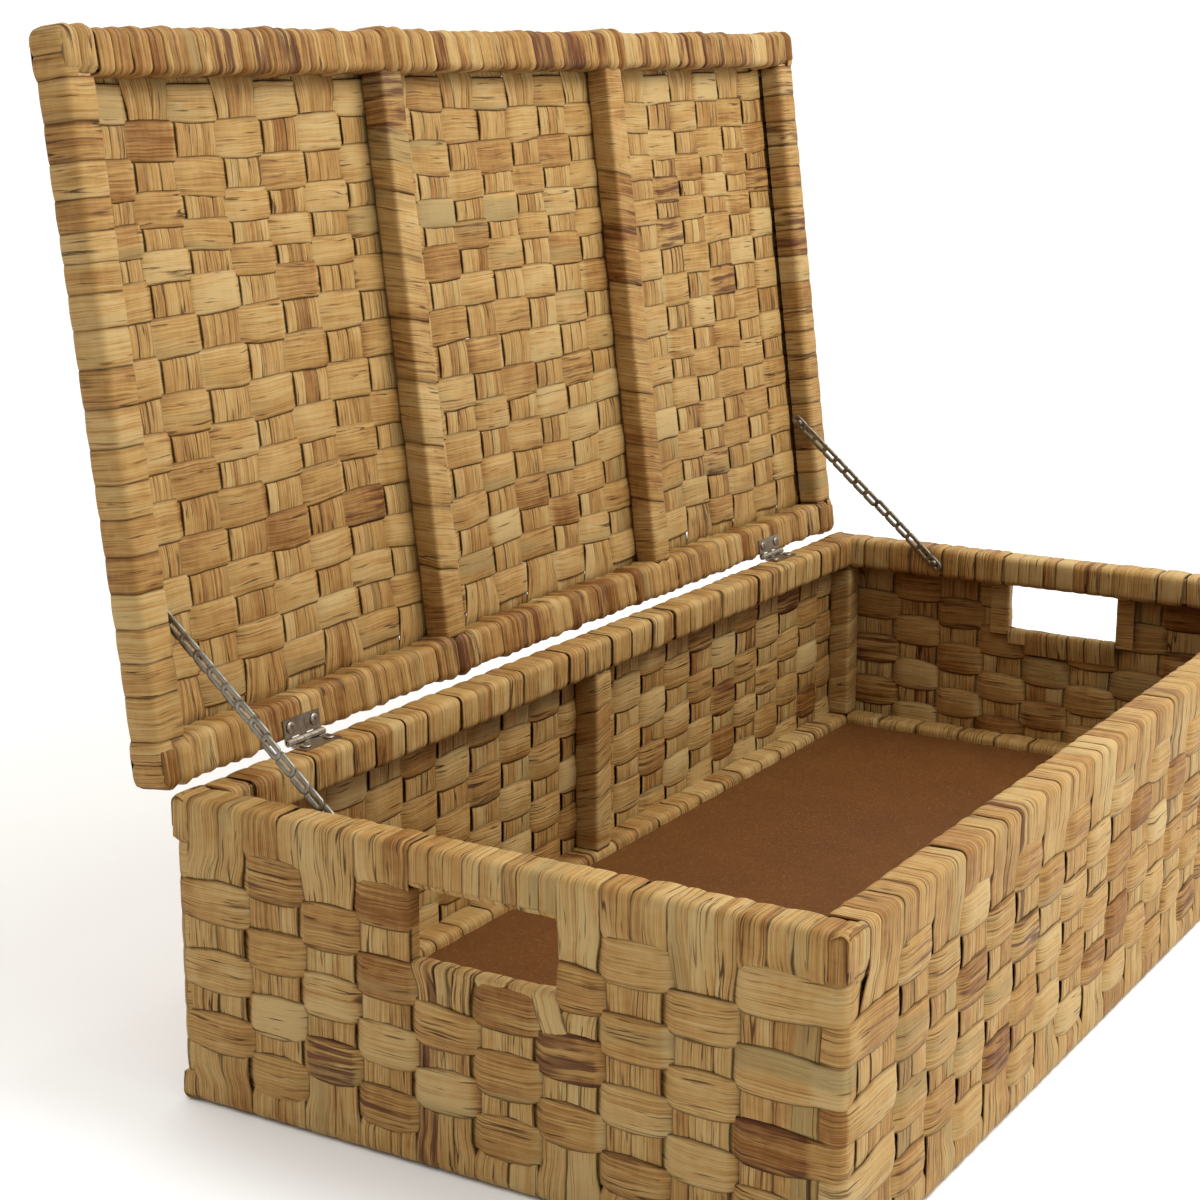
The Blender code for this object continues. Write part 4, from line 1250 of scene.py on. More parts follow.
def bar_outline(width, depth, radius=0.0016):
    """Rounded rectangle about the origin, with points along its straight sides."""
    x = width / 2 - radius
    y = depth / 2 - radius
    points = []
    for (cx, cy), start in (((x, y), 0), ((-x, y), 90), ((-x, -y), 180), ((x, -y), 270)):
        points += arc_points((cx, cy), radius, start, start + 90, 3)
        last = points[-1]
        turn = math.radians(start + 90)
        following = (-math.sin(turn), math.cos(turn))
        run = 2 * (x if start in (0, 180) else y)
        for share in (0.33, 0.66):
            points.append((last[0] + following[0] * run * share, last[1] + following[1] * run * share))
    return points


def winding(plan, rng, outline, start, end, pitch, spot_of, side, crown, stain_share, slant=1.0):
    """Winds one strip round a bar, its end turns flat. A low slant advances it on its first side."""
    half = pitch / 2 + WINDING_LAP
    lengths = [0.0]
    for index in range(len(outline)):
        first = Vector(outline[index])
        second = Vector(outline[(index + 1) % len(outline)])
        lengths.append(lengths[-1] + (second - first).length)
    turns = math.ceil((end - start - 2 * half) / pitch) + 2
    stations = []
    tones = [cell_tones(rng, stain_share) for turn in range(turns + 1)]
    for turn in range(turns):
        for index, (x, y) in enumerate(outline):
            share = lengths[index] / lengths[-1]
            advance = mixed(eased(share / FIRST_SIDE), share, slant)
            along = start + half + pitch * (turn - 1 + advance)
            along = min(max(along, start + half), end - half)
            shade = mixed(tones[turn][0], tones[turn + 1][0], share)
            stain = mixed(tones[turn][1], tones[turn + 1][1], share)
            lift = 1.0 + WINDING_LIFT * (turn % 2)
            spot = spot_of(x * lift, y * lift, along)
            stations.append((spot, side, half, crown, shade - WINDING_DARKENS, stain))
    plan.add(stations, WRAP_RIBS)


class BOX_OT_post_wraps(bpy.types.Operator):
    """Winds leaf strip round the posts inside the box."""

    bl_idname = "woven_box.posts"
    bl_label = "Post wraps"

    def execute(self, context):
        sizes = context.scene.woven_sizes
        plan = StripPlan(4000)
        nodes = []
        posts = []
        for along, y in (("front", -HALF_DEPTH + POST_INSET), ("back", HALF_DEPTH - POST_INSET)):
            for across, x in (("left", -HALF_LENGTH + POST_INSET), ("right", HALF_LENGTH - POST_INSET)):
                posts.append((f"{along}_{across}_post_wrap", POST_SIDE, x, y))
            posts.append((f"{along}_mid_post_wrap", MID_POST_WIDTH, 0.0, y))
        for order, (node, width, x, y) in enumerate(posts):
            rng = random.Random(300 + order)
            low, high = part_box(node)
            middle = Vector((x, y, 0.0))

            def spot_of(across, inward, height, middle=middle):
                return middle + Vector((across, inward, height))

            outline = bar_outline(width - BAR_CLEARANCE, POST_SIDE - BAR_CLEARANCE)
            down = Vector((0.0, 0.0, -1.0))
            looks = (POST_CROWN, POST_STAINED)
            winding(plan, rng, outline, low.z, high.z, sizes.post_pitch, spot_of, down, *looks)
            nodes.append(node)
        leaf_piece(plan, "post_wraps", "box", nodes, sizes)
        return {"FINISHED"}


def lid_place():
    """Takes a point of the closed lid to where it is with the lid open."""
    turn = Matrix.Rotation(-LID_OPEN, 4, "X")
    return Matrix.Translation(HINGE_LINE) @ turn @ Matrix.Translation(-HINGE_LINE)


def lid_spot(x, y, height):
    return Vector((x, y, LID_LEVEL + height))


def lid_edge_section(sizes):
    """Round a lid rail from inside the lid out to its top: (distance in from the edge, height)."""
    radius = sizes.rounding
    bend = radius - LID_SKIN
    top = LID_THICKNESS - radius
    far = RAIL_WIDTH - radius
    points = [(RAIL_WIDTH - LID_SKIN, height) for height in (0.0163, 0.011, 0.0065)]
    points += arc_points((far, radius), bend, 0, -90)
    points += [(mixed(far, radius, share), LID_SKIN) for share in (0.35, 0.65)]
    points += arc_points((radius, radius), bend, 270, 180)
    points += [(LID_SKIN, mixed(radius, top, share)) for share in (0.35, 0.65)]
    points += arc_points((radius, top), bend, 180, 90)
    points += [(0.010, LID_THICKNESS - LID_SKIN), (0.016, LID_THICKNESS - LID_SKIN)]
    return points


def lid_wefts(sizes):
    """Strips along the lid, each wrapped round both side rails."""
    plan = StripPlan(6000, lid_place())
    side = Vector((0.0, -1.0, 0.0))
    section = lid_edge_section(sizes)
    necks = row_necks(LID_ROWS)
    inner = HALF_DEPTH - RAIL_WIDTH - LID_EDGE_GAP
    edges = [HALF_DEPTH - 0.5 * (low + high) for low, high in zip(LID_ROWS, LID_ROWS[1:])]
    edges = [-inner] + edges + [inner]
    end = HALF_LENGTH - 0.012
    weave_end = HALF_LENGTH - LID_WEAVE_EDGE
    for row, reach in enumerate(LID_ROWS):
        rng = random.Random(1500 + row)
        level = HALF_DEPTH - reach
        rail_middle = (edges[row] + edges[row + 1]) / 2
        rail_half = (edges[row + 1] - edges[row]) / 2 + FINE_LAP
        end_tones = [cell_tones(rng, share) for share in (0.18, 0.45)]
        tones = [cell_tones(rng, 0.10) for column in LID_COLUMNS]
        overs = [weft_is_over(row, column) for column in range(len(LID_COLUMNS))]
        stops = stops_along((-end, end), 0.6, LID_END_REACH, LID_COLUMNS, overs, CELL_REACH)
        stations = []
        for distance, height in section:
            spot = lid_spot(-HALF_LENGTH + distance, rail_middle, height)
            stations.append((spot, side, rail_half, FLAT_CROWN, *end_tones[0]))
        for place in spaced(-weave_end, weave_end):
            swing, nearest = swing_at(stops, place)
            own = noise.noise(Vector((place * QUICK_RATE, 3.0, row * ROW_SHIFT)))
            lean = noise.noise(Vector((place * LID_SLOW_RATE, 7.0, level * LID_LEVEL_RATE)))
            to_weave = risen(HALF_LENGTH - abs(place), LID_DEPTH_BLEND)
            drawn_in = risen(HALF_LENGTH - abs(place), LID_SPREAD_BLEND)
            height = LID_WEAVE_HEIGHT + LID_RELIEF * sizes.weft_swing * swing
            height = mixed(LID_THICKNESS - LID_SKIN, height, to_weave)
            away = LID_BARREL * abs(place - stops[nearest][0])
            half = weft_half_width(LID_WIDENING * necks[row], swing, necks[row], away)
            half *= 1.0 + WIDTH_VARIES * own
            half = mixed(max(rail_half + 0.0006, half), half, drawn_in)
            half = mixed(rail_half, half, to_weave)
            wandered = level + LID_SLOW_WANDER * lean + LID_QUICK_WANDER * own
            spot = lid_spot(place, mixed(rail_middle, wandered, drawn_in), height)
            column = min(max(nearest - 1, 0), len(tones) - 1)
            crown = mixed(FLAT_CROWN, LID_CROWN * sizes.weft_crown * swing, to_weave)
            stations.append((spot, side, half, crown, *tones[column]))
        for distance, height in reversed(section):
            spot = lid_spot(HALF_LENGTH - distance, rail_middle, height)
            stations.append((spot, side, rail_half, FLAT_CROWN, *end_tones[1]))
        plan.add(stations, WEFT_RIBS)
    for end in (-1, 1):
        around = section if end < 0 else list(reversed(section))
        for low, high in ((-HALF_DEPTH, edges[0]), (edges[-1], HALF_DEPTH)):
            half = (high - low) / 4 + LAP
            for part in range(2):
                tones = cell_tones(random.Random(1700 + part + end), 0.12)
                middle = mixed(low, high, (part + 0.5) / 2)
                stations = []
                for distance, height in around:
                    if distance < 0.012:
                        spot = lid_spot(end * (HALF_LENGTH - distance + 0.0004), middle, height)
                        stations.append((spot, side, half, LID_SIDE_CORNER_CROWN, *tones))
                plan.add(stations, WRAP_RIBS)
    return plan


def lid_warps(sizes):
    """Strips across the lid, in columns, each wrapped round the front and back rails."""
    plan = StripPlan(7000, lid_place())
    side = Vector((1.0, 0.0, 0.0))
    section = lid_edge_section(sizes)
    levels = [HALF_DEPTH - reach for reach in LID_ROWS]
    edges = [(low + high) / 2 for low, high in zip(LID_COLUMNS, LID_COLUMNS[1:])]
    edges = [LID_COLUMNS[0] - LID_PITCH / 2] + edges + [LID_COLUMNS[-1] + LID_PITCH / 2]
    end = HALF_DEPTH - 0.010
    weave_end = HALF_DEPTH - LID_WEAVE_EDGE
    for index in range(len(LID_COLUMNS)):
        rng = random.Random(1900 + index)
        low, high = edges[index], edges[index + 1]
        width = (high - low) * sizes.column_width / LID_PITCH
        overs = [not weft_is_over(row, index) for row in range(len(levels))]
        stops = stops_along((-end, end), 1.0, LID_END_REACH, levels, overs, ROW_REACH)
        for low_part, high_part in split_column(rng, LID_THREE_SHARE, LID_CUT_STRAY):
            number = plan.number
            portion = (low_part + high_part) / 2
            portion_half = (high_part - low_part) / 2
            rail_place = mixed(low, high, portion)
            rail_half = (high - low) * portion_half * LID_RAIL_WIDENING + LAP
            weave_place = (low + high) / 2 + width * (portion - 0.5)
            weave_half = width * portion_half + LAP
            shade, stain = calm_tones(rng, 0.06)
            front_tones, back_tones = [cell_tones(rng, LID_RAIL_STAINED) for rail in range(2)]
            front_tones = (front_tones[0] - 0.06, 1.25 * front_tones[1])
            back_tones = (back_tones[0] - 0.05, back_tones[1])
            by_end = min(1.0, (HALF_LENGTH - abs(rail_place)) / SLANT_RUN)
            slants = []
            for seed, (mean, wander) in ((1.0, FRONT_SLANT), (2.0, BACK_SLANT)):
                slants.append(by_end * (mean + wander * wavering(seed, rail_place, SLANT_RUN)))
            crown = sizes.wrap_crown * rng.uniform(1.0, 2.2)
            at_batten = abs(abs(rail_place) - BATTEN_CENTRE) < BATTEN_REACH
            bulges = [rng.uniform(*WRAP_BULGE) + BATTEN_BULGE * at_batten for rail in range(2)]
            at_hinge = abs(abs(rail_place) - HINGE_CENTRE) < HINGE_REACH
            back_crown = crown * HINGE_CROWN if at_hinge else crown + bulges[1]
            stations = []
            for order, (distance, height) in enumerate(section):
                place = rail_place + slants[0] * (1.0 - order / (len(section) - 1))
                spot = lid_spot(place, -HALF_DEPTH + distance, height)
                stations.append((spot, side, rail_half, crown + bulges[0], *front_tones))
            for y in spaced(-weave_end, weave_end, LID_CROSS_STEP):
                swing = swing_at(stops, y)[0]
                to_weave = risen(HALF_DEPTH - abs(y), LID_DEPTH_BLEND)
                drawn_in = risen(HALF_DEPTH - abs(y), LID_SPREAD_BLEND)
                height = LID_WEAVE_HEIGHT + LID_RELIEF * sizes.warp_swing * swing
                height = mixed(LID_THICKNESS - LID_SKIN, height, to_weave)
                place = mixed(rail_place, weave_place, drawn_in) + STRAY * wavering(number, y, STRAY_RUN)
                half = mixed(rail_half, weave_half, drawn_in)
                tone = shade + TONE_WANDER * wavering(number, y, TONE_RUN)
                raised = mixed(crown, sizes.warp_crown * swing, to_weave)
                stations.append((lid_spot(place, y, height), side, half, raised, tone, stain))
            for order, (distance, height) in enumerate(reversed(section)):
                place = rail_place - slants[1] * order / (len(section) - 1)
                spot = lid_spot(place, HALF_DEPTH - distance, height)
                stations.append((spot, side, rail_half, back_crown, *back_tones))
            plan.add(stations, UPRIGHT_RIBS)
    edge = edges[-1]
    half = (HALF_LENGTH - edge) / 4 + LAP
    tucked = section + [(0.0215, LID_THICKNESS - 0.0012), (0.0290, LID_WEAVE_HEIGHT - 0.0006)]
    for sign in (-1, 1):
        for end in (-1, 1):
            rng = random.Random(2100 + 2 * sign + end)
            around = tucked if end < 0 else list(reversed(tucked))
            for part in range(2):
                shade, stain = cell_tones(rng, 0.3)
                place = sign * mixed(edge, HALF_LENGTH - 0.0006, (part + 0.5) / 2)
                stations = []
                for distance, height in around:
                    spot = lid_spot(place, end * (HALF_DEPTH - distance), height)
                    raised = LID_CORNER_CROWN if distance < 0.018 else LID_TUCK_CROWN
                    stations.append((spot, side, half, raised, shade - 0.08, stain))
                plan.add(stations, UPRIGHT_RIBS)
    return plan


class BOX_OT_woven_lid(bpy.types.Operator):
    """Weaves the lid and wraps its four rails and two battens."""

    bl_idname = "woven_box.lid"
    bl_label = "Woven lid"

    def execute(self, context):
        sizes = context.scene.woven_sizes
        leaf_piece(lid_wefts(sizes), "lid_weft_strips", "lid", ["lid_woven_top"], sizes)
        leaf_piece(lid_warps(sizes), "lid_cross_strips", "lid", (), sizes)
        plan = StripPlan(8000, lid_place())
        side = Vector((0.0, 1.0, 0.0))
        for order, centre in enumerate((-BATTEN_CENTRE, BATTEN_CENTRE)):
            rng = random.Random(2300 + order)

            def spot_of(across, height, along, centre=centre):
                return lid_spot(centre + across, along, BATTEN_DEPTH / 2 + height)

            outline = bar_outline(BATTEN_WIDTH - BAR_CLEARANCE, BATTEN_DEPTH - BAR_CLEARANCE)
            run = (-BATTEN_HALF_RUN, BATTEN_HALF_RUN)
            looks = (FLAT_CROWN, BATTEN_STAINED, BATTEN_SLANT)
            winding(plan, rng, outline, *run, sizes.batten_pitch, spot_of, side, *looks)
        nodes = ["lid_left_batten_wrap", "lid_right_batten_wrap"]
        leaf_piece(plan, "batten_wraps", "lid", nodes, sizes)
        return {"FINISHED"}


def surface(name, metallic=0.0):
    """A new material with its builder and its shader."""
    material = bpy.data.materials.new(name)
    material.use_nodes = True
    shader = material.node_tree.nodes["Principled BSDF"]
    shader.inputs["Metallic"].default_value = metallic
    return material, NodeBuilder(material.node_tree), shader


def toned(build, value, tones):
    """Screen colours at stops along a pattern."""
    return ramp_colours(build, value, [(spot, linear(*colour)) for spot, colour in tones])


def ramp_colours(build, value, stops):
    """Colours at stops along a pattern."""
    ramp = build.node("ShaderNodeValToRGB", {"Fac": value})
    while len(ramp.color_ramp.elements) < len(stops):
        ramp.color_ramp.elements.new(0.5)
    for element, (spot, colour) in zip(ramp.color_ramp.elements, stops):
        element.position = spot
        element.color = colour
    return ramp.outputs["Color"]


def roughened(build, shader, value, low, high):
    """Roughness that follows a pattern."""
    build.feed(shader.inputs["Roughness"], build.ramped(value, 0.3, 0.7, low, high))


def bumped(build, shader, strength, distance, height):
    """Fine relief that follows a pattern."""
    bump = build.node("ShaderNodeBump", {"Strength": strength, "Distance": distance, "Height": height})
    build.feed(shader.inputs["Normal"], bump.outputs[0])


def object_noise(build, scales, detail):
    """Noise in the object's own place, with a scale for each axis."""
    spot = build.node("ShaderNodeTexCoord").outputs["Object"]
    place = build.node("ShaderNodeMapping", {"Vector": spot, "Scale": scales}).outputs[0]
    return build.noise(place, detail)


def hardboard_finish():
    """Pressed brown board with short pale flecks that lie all ways."""
    material, build, shader = surface("hardboard")
    cloud = object_noise(build, (30.0, 30.0, 30.0), 4.0)
    grain = object_noise(build, (700.0, 700.0, 700.0), 3.0)
    along = object_noise(build, (150.0, 1100.0, 100.0), 1.0)
    athwart = object_noise(build, (1100.0, 150.0, 100.0), 1.0)
    tone = build.math("MULTIPLY_ADD", build.math("SUBTRACT", grain, 0.5), 1.2, 0.33)
    tone = build.math("MULTIPLY_ADD", cloud, 0.4, tone)
    colour = toned(build, tone, BOARD_TONES)
    flecks = build.math("MAXIMUM", build.ramped(along, 0.66, 0.76), build.ramped(athwart, 0.66, 0.76))
    colour = build.blend(colour, linear(*BOARD_FLECKS), build.math("MULTIPLY", flecks, 0.35))
    build.feed(shader.inputs["Base Color"], colour)
    roughened(build, shader, grain, 0.62, 0.78)
    shader.inputs["Specular IOR Level"].default_value = 0.15
    bumped(build, shader, 0.25, 0.0004, grain)
    return material


def timber_finish(long_axis):
    """Pale softwood with its grain along one axis."""
    material, build, shader = surface(f"frame timber along {'xyz'[long_axis]}")
    fine = [420.0, 420.0, 420.0]
    fine[long_axis] = 9.0
    broad = [70.0, 70.0, 70.0]
    broad[long_axis] = 3.0
    grain = object_noise(build, fine, 3.0)
    bands = object_noise(build, broad, 2.0)
    tone = build.math("MULTIPLY_ADD", build.math("SUBTRACT", grain, 0.5), 0.7, bands)
    build.feed(shader.inputs["Base Color"], toned(build, tone, TIMBER_TONES))
    roughened(build, shader, grain, 0.6, 0.8)
    bumped(build, shader, 0.3, 0.0004, grain)
    return material


def metal_finish(name):
    """Metal with fine scratches and a patchy sheen."""
    found = bpy.data.materials.get(name)
    if found is not None:
        return found
    dark, bright, rough_low, rough_high = METALS[name]
    material, build, shader = surface(name, metallic=1.0)
    patches = object_noise(build, (260.0, 260.0, 260.0), 3.0)
    scratches = object_noise(build, (300.0, 5200.0, 5200.0), 2.0)
    tone = build.math("MULTIPLY_ADD", build.math("SUBTRACT", scratches, 0.5), 0.5, patches)
    build.feed(shader.inputs["Base Color"], toned(build, tone, ((0.3, dark), (0.7, bright))))
    roughened(build, shader, tone, rough_low, rough_high)
    bumped(build, shader, 0.04, 0.00004, scratches)
    return material


def refinish(node, material):
    """Gives a solid of the frame a finish in place of its own."""
    node.data.materials.clear()
    node.data.materials.append(material)


class BOX_OT_board_and_timber(bpy.types.Operator):
    """Gives the bottom board and the timber frame their finishes."""

    bl_idname = "woven_box.board_and_timber"
    bl_label = "Board and timber"

    def execute(self, context):
        timbers = [timber_finish(axis) for axis in range(3)]
        board = hardboard_finish()
        for name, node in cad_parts.items():
            is_timber = name.endswith(("_rail", "_post", "_batten"))
            if not is_timber and name != "bottom_board":
                continue
            low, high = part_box(name)
            size = high - low
            refinish(node, timbers[list(size).index(max(size))] if is_timber else board)
        return {"FINISHED"}


class BOX_OT_hinges(bpy.types.Operator):
    """Gives the hinge leaves and pins their steel."""

    bl_idname = "woven_box.hinges"
    bl_label = "Hinges"

    def execute(self, context):
        for name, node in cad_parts.items():
            if "_hinge_" in name and "screw" not in name:
                refinish(node, metal_finish("bright steel"))
        return {"FINISHED"}


def skinned(shape, low, high):
    """Faces between two rings of points."""
    for side in range(len(low)):
        after = (side + 1) % len(low)
        shape.faces.new((low[side], low[after], high[after], high[side]))


def smooth_mesh(shape, name):
    """A shape as a smooth mesh with its faces out."""
    bmesh.ops.recalc_face_normals(shape, faces=shape.faces)
    mesh = bpy.data.meshes.new(name)
    shape.to_mesh(mesh)
    shape.free()
    mesh.shade_smooth()
    return mesh


def screw_head(head, rise, sides):
    """Pan head with a cross recess sunk in its crown, centred on the origin, its seat at 0."""
    shape = bmesh.new()
    turns = [2.0 * math.pi * side / sides for side in range(sides)]

    def ring(radii, height):
        points = zip(turns, radii)
        return [shape.verts.new((r * math.cos(turn), r * math.sin(turn), height)) for turn, r in points]

    rings = [ring([radius * head] * sides, height * rise) for radius, height in SCREW_PROFILE]
    shape.faces.new(list(reversed(rings[0])))
    arms = [abs(math.cos(2.0 * turn)) > 0.80 for turn in turns]
    cross = [(CROSS_ARM if is_arm else CROSS_CORNER) * head for is_arm in arms]
    rings.append(ring(cross, rise * 0.98))
    rings.append(ring([CROSS_FLOOR * radius for radius in cross], rise * 0.30))
    for low, high in zip(rings, rings[1:]):
        skinned(shape, low, high)
    centre = shape.verts.new((0.0, 0.0, rise * 0.25))
    floor = rings[-1]
    for side in range(sides):
        shape.faces.new((floor[side], floor[(side + 1) % sides], centre))
    mesh = smooth_mesh(shape, "screw head")
    mesh.set_sharp_from_angle(angle=SHARP_ANGLE)
    return mesh


def link_shape(width, length, bar, thickness):
    """One folded link with softened edges, along Z, its ends thin so that links lap."""
    shape = bmesh.new()
    soft = 0.20 * thickness
    half = thickness / 2

    def ring(inset, x):
        radius = max(0.46 * width - inset, 0.0003)
        y = width / 2 - inset - radius
        z = length / 2 - inset - radius
        points = []
        for (cy, cz), start in (((y, z), 0), ((-y, z), 90), ((-y, -z), 180), ((y, -z), 270)):
            points += arc_points((cy, cz), radius, start, start + 90, 5)
        return [shape.verts.new((x, py, pz)) for py, pz in points]

    outside = ((soft, -half), (0.0, soft - half), (0.0, half - soft), (soft, half))
    window = ((bar - soft, half), (bar, half - soft), (bar, soft - half), (bar - soft, -half))
    rings = [ring(inset, x) for inset, x in outside + window]
    for low, high in zip(rings, rings[1:] + rings[:1]):
        skinned(shape, low, high)
    lap = 0.46 * width
    for vertex in shape.verts:
        share = 0.52 * eased((abs(vertex.co.z) - length / 2 + lap) / (0.6 * lap))
        lapped_to = half if vertex.co.z > 0.0 else -half
        vertex.co.x = mixed(vertex.co.x, lapped_to, share)
        if vertex.co.z < 0.0:
            vertex.co.y *= 1.0 - 0.12 * share / 0.52
    return smooth_mesh(shape, "chain link")


def placing_tree():
    """Puts a copy of a shape on each point, turned as the point says."""
    inputs = {"Points": "Geometry", "Shape": "Object", "Finish": "Material"}
    tree, build, given = new_tree("placed shapes", inputs, "Copies")
    shape = build.node("GeometryNodeObjectInfo", {"Object": given["Shape"]}).outputs["Geometry"]
    turn = build.named("turn", "QUATERNION")
    inputs = {"Points": given["Points"], "Instance": shape, "Rotation": turn}
    copies = build.node("GeometryNodeInstanceOnPoints", inputs).outputs[0]
    end_tree(build, copies, given["Finish"], "Copies")
    return tree


def placed_copies(name, shape_mesh, places, finish):
    """One mesh of copies of a shape. Places are matrices."""
    template = linked(f"{name} shape", shape_mesh)
    mesh = bpy.data.meshes.new(f"{name} points")
    mesh.from_pydata([place.to_translation() for place in places], [], [])
    layer = mesh.attributes.new("turn", "QUATERNION", "POINT")
    layer.data.foreach_set("value", [part for place in places for part in place.to_quaternion()])
    tree = bpy.data.node_groups.get("placed shapes") or placing_tree()
    source = linked(f"{name} points", mesh)
    piece = baked(source, tree, {"Shape": template, "Finish": finish}, name)
    bpy.data.objects.remove(template, do_unlink=True)
    layer = piece.data.attributes.get("turn")
    if layer is not None:
        piece.data.attributes.remove(layer)
    return piece


def placed_screws(name, size, sides, places, metal):
    """Screw heads of one size at each of the places."""
    piece = placed_copies(name, screw_head(*size, sides), places, metal_finish(metal))
    piece.data.shade_smooth()
    piece.data.set_sharp_from_angle(angle=SHARP_ANGLE)
    return piece


def facing(direction, spot):
    """A matrix at a spot whose Z looks along a direction."""
    turn = Vector(direction).to_track_quat("Z", "Y").to_matrix().to_4x4()
    return Matrix.Translation(spot) @ turn


class BOX_OT_screws(bpy.types.Operator):
    """Sets cross-recessed screws in the hinge leaves and the chain ends."""

    bl_idname = "woven_box.screws"
    bl_label = "Screws"

    def execute(self, context):
        sides = context.scene.woven_metal.screw_sides
        lid = lid_place()
        for body in ("box", "lid"):
            places = []
            nodes = []
            for across, x in (("left", -HINGE_CENTRE), ("right", HINGE_CENTRE)):
                for number, offset in ((1, -HINGE_SCREW_SPACING), (2, HINGE_SCREW_SPACING)):
                    node = f"{across}_hinge_{body}_screw_{number}"
                    drop = -HINGE_SEAT if body == "box" else HINGE_SEAT
                    spot = HINGE_LINE + Vector((x + offset, -HINGE_SCREW_REACH, drop))
                    turned = facing((0, 0, 1) if body == "box" else (0, 0, -1), spot)
                    spin = Matrix.Rotation(0.6 * number + x, 4, "Z")
                    places.append((turned if body == "box" else lid @ turned) @ spin)
                    nodes.append(node)
            piece = placed_screws(f"{body}_hinge_screws", HINGE_SCREW, sides, places, "bright steel")
            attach(piece, body)
            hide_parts(*nodes)
            places = []
            nodes = []
            for across, side in (("left", -1), ("right", 1)):
                node = f"{across}_chain_{body}_screw"
                low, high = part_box(node)
                middle = (low + high) / 2
                seat = (high.x if side < 0 else low.x) + side * CHAIN_SCREW_DROP
                places.append(facing((-side, 0, 0), (seat, middle.y, middle.z)))
                nodes.append(node)
            piece = placed_screws(f"{body}_chain_screws", CHAIN_SCREW, sides, places, "dull bronze")
            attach(piece, body)
            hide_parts(*nodes)
        return {"FINISHED"}


class BOX_OT_chains(bpy.types.Operator):
    """Hangs the two stay chains, each in a strand on the box and a strand on the lid."""

    bl_idname = "woven_box.chains"
    bl_label = "Stay chains"

    def execute(self, context):
        metal = context.scene.woven_metal
        length = CHAIN_PITCH + 1.15 * metal.link_bar
        for across in ("left", "right"):
            ends = {}
            for half in ("box", "lid"):
                low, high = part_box(f"{across}_chain_{half}_screw")
                ends[half] = (low + high) / 2
            for strand, start, end in (("lower", "box", "lid"), ("upper", "lid", "box")):
                node = f"{across}_chain_{strand}"
                low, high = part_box(node)
                x = (low.x + high.x) / 2
                first = Vector((x, ends[start].y, ends[start].z))
                run = Vector((0.0, ends[end].y - ends[start].y, ends[end].z - ends[start].z)).normalized()
                slope = math.atan2(-run.y, run.z)
                places = []
                for index in range(CHAIN_LINKS[strand]):
                    spot = first + run * (index * CHAIN_PITCH)
                    places.append(Matrix.Translation(spot) @ Matrix.Rotation(slope, 4, "X"))
                link = link_shape(metal.link_width, length, metal.link_bar, metal.link_thickness)
                piece = placed_copies(f"{node}_links", link, places, metal_finish("dull bronze"))
                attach(piece, node)
                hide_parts(node)
        return {"FINISHED"}


def floor_finish():
    """Pale, faintly clouded floor."""
    material, build, shader = surface("pale floor")
    cloud = object_noise(build, (3.0, 3.0, 3.0), 2.0)
    build.feed(shader.inputs["Base Color"], toned(build, cloud, FLOOR_TONES))
    roughened(build, shader, cloud, 0.7, 0.8)
    shader.inputs["Specular IOR Level"].default_value = 0.2
    return material


def soft_light(name, spot, target, size, power, colour):
    """A soft lamp at a spot that looks at a target."""
    light = bpy.data.lights.new(name, "AREA")
    light.shape = "RECTANGLE"
    light.size, light.size_y = size
    light.energy = power
    light.color = colour
    lamp = linked(name, light)
    lamp.location = spot
    lamp.rotation_euler = (Vector(target) - Vector(spot)).to_track_quat("-Z", "Y").to_euler()


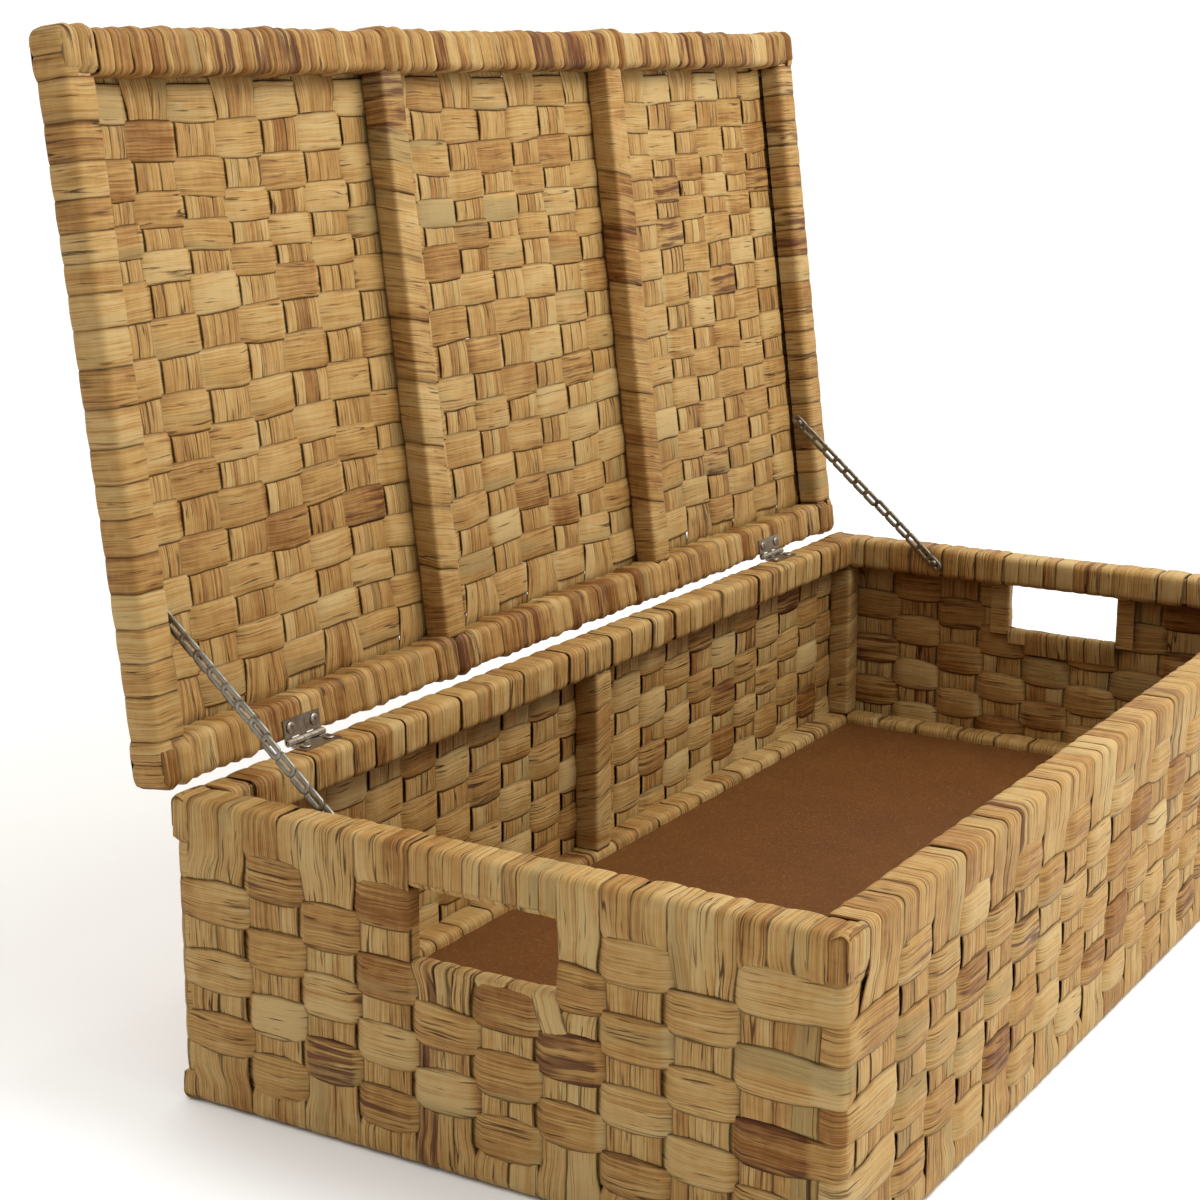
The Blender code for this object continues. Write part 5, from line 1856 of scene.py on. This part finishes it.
class BOX_OT_stage(bpy.types.Operator):
    """Sets the pale floor, the soft light and the camera."""

    bl_idname = "woven_box.stage"
    bl_label = "Stage"

    def execute(self, context):
        scene = context.scene
        stage = scene.woven_stage
        shape = bmesh.new()
        bmesh.ops.create_grid(shape, x_segments=8, y_segments=8, size=FLOOR_HALF)
        mesh = bpy.data.meshes.new("floor")
        shape.to_mesh(mesh)
        shape.free()
        mesh.transform(Matrix.Translation((0.0, 0.0, -FLOOR_DROP)))
        mesh.materials.append(floor_finish())
        floor = linked("floor", mesh)
        world = bpy.data.worlds.new("white studio")
        world.use_nodes = True
        build = NodeBuilder(world.node_tree)
        backdrop = world.node_tree.nodes["Background"]
        view = build.node("ShaderNodeTexCoord").outputs["Generated"]
        toward = build.node("ShaderNodeVectorMath", {0: view, 1: SKY_TOWARD}, operation="DOT_PRODUCT")
        strength = build.ramped(toward.outputs["Value"], -0.35, 0.95, stage.sky_near, stage.sky_far)
        height = build.node("ShaderNodeSeparateXYZ", {0: view}).outputs["Z"]
        band = build.ramped(height, 0.04, 0.12, 1.0, 0.0)
        build.feed(backdrop.inputs["Color"], build.blend(SKY_COLOUR, WHITE, band))
        strength = build.math("MAXIMUM", strength, build.math("MULTIPLY", band, HORIZON_STRENGTH))
        build.feed(backdrop.inputs["Strength"], strength)
        scene.world = world
        soft_light("key", KEY_FROM, KEY_AT, KEY_SIZE, stage.key, KEY_COLOUR)
        soft_light("fill", FILL_FROM, FILL_AT, FILL_SIZE, stage.fill, FILL_COLOUR)
        lens = bpy.data.cameras.new("camera")
        lens.lens = stage.lens
        lens.sensor_width = SENSOR
        camera = linked("camera", lens)
        camera.location = CAMERA_SPOT
        camera.rotation_euler = CAMERA_TURN
        scene.camera = camera
        scene.view_settings.view_transform = "Standard"
        return {"FINISHED"}


class BOX_PT_panel(bpy.types.Panel):
    """Lists what makes the box, in order."""

    bl_idname = "BOX_PT_panel"
    bl_label = "Woven underbed box"
    bl_space_type = "VIEW_3D"
    bl_region_type = "UI"
    bl_category = "Woven box"

    def draw(self, context):
        for operator in OPERATORS:
            self.layout.operator(operator.bl_idname)
        for group in SETTINGS:
            settings = getattr(context.scene, group)
            column = self.layout.column()
            for name in settings.bl_rna.properties.keys():
                if name not in ("rna_type", "name"):
                    column.prop(settings, name)


SETTINGS = {
    "woven_sizes": WovenSizes,
    "woven_colours": LeafColours,
    "woven_metal": MetalSizes,
    "woven_stage": StageSettings,
}
OPERATORS = (
    BOX_OT_stage,
    BOX_OT_woven_walls,
    BOX_OT_hand_holes,
    BOX_OT_post_wraps,
    BOX_OT_woven_lid,
    BOX_OT_board_and_timber,
    BOX_OT_hinges,
    BOX_OT_screws,
    BOX_OT_chains,
)


def register():
    for kind in (*SETTINGS.values(), *OPERATORS, BOX_PT_panel):
        bpy.utils.register_class(kind)
    for name, kind in SETTINGS.items():
        setattr(bpy.types.Scene, name, bpy.props.PointerProperty(type=kind))


def unregister():
    for name in SETTINGS:
        delattr(bpy.types.Scene, name)
    for kind in reversed((*SETTINGS.values(), *OPERATORS, BOX_PT_panel)):
        bpy.utils.unregister_class(kind)


def main():
    register()
    bpy.ops.woven_box.stage()
    bpy.ops.woven_box.walls()
    bpy.ops.woven_box.hand_holes()
    bpy.ops.woven_box.posts()
    bpy.ops.woven_box.lid()
    bpy.ops.woven_box.board_and_timber()
    bpy.ops.woven_box.hinges()
    bpy.ops.woven_box.screws()
    bpy.ops.woven_box.chains()


if __name__ == "__main__":
    main()
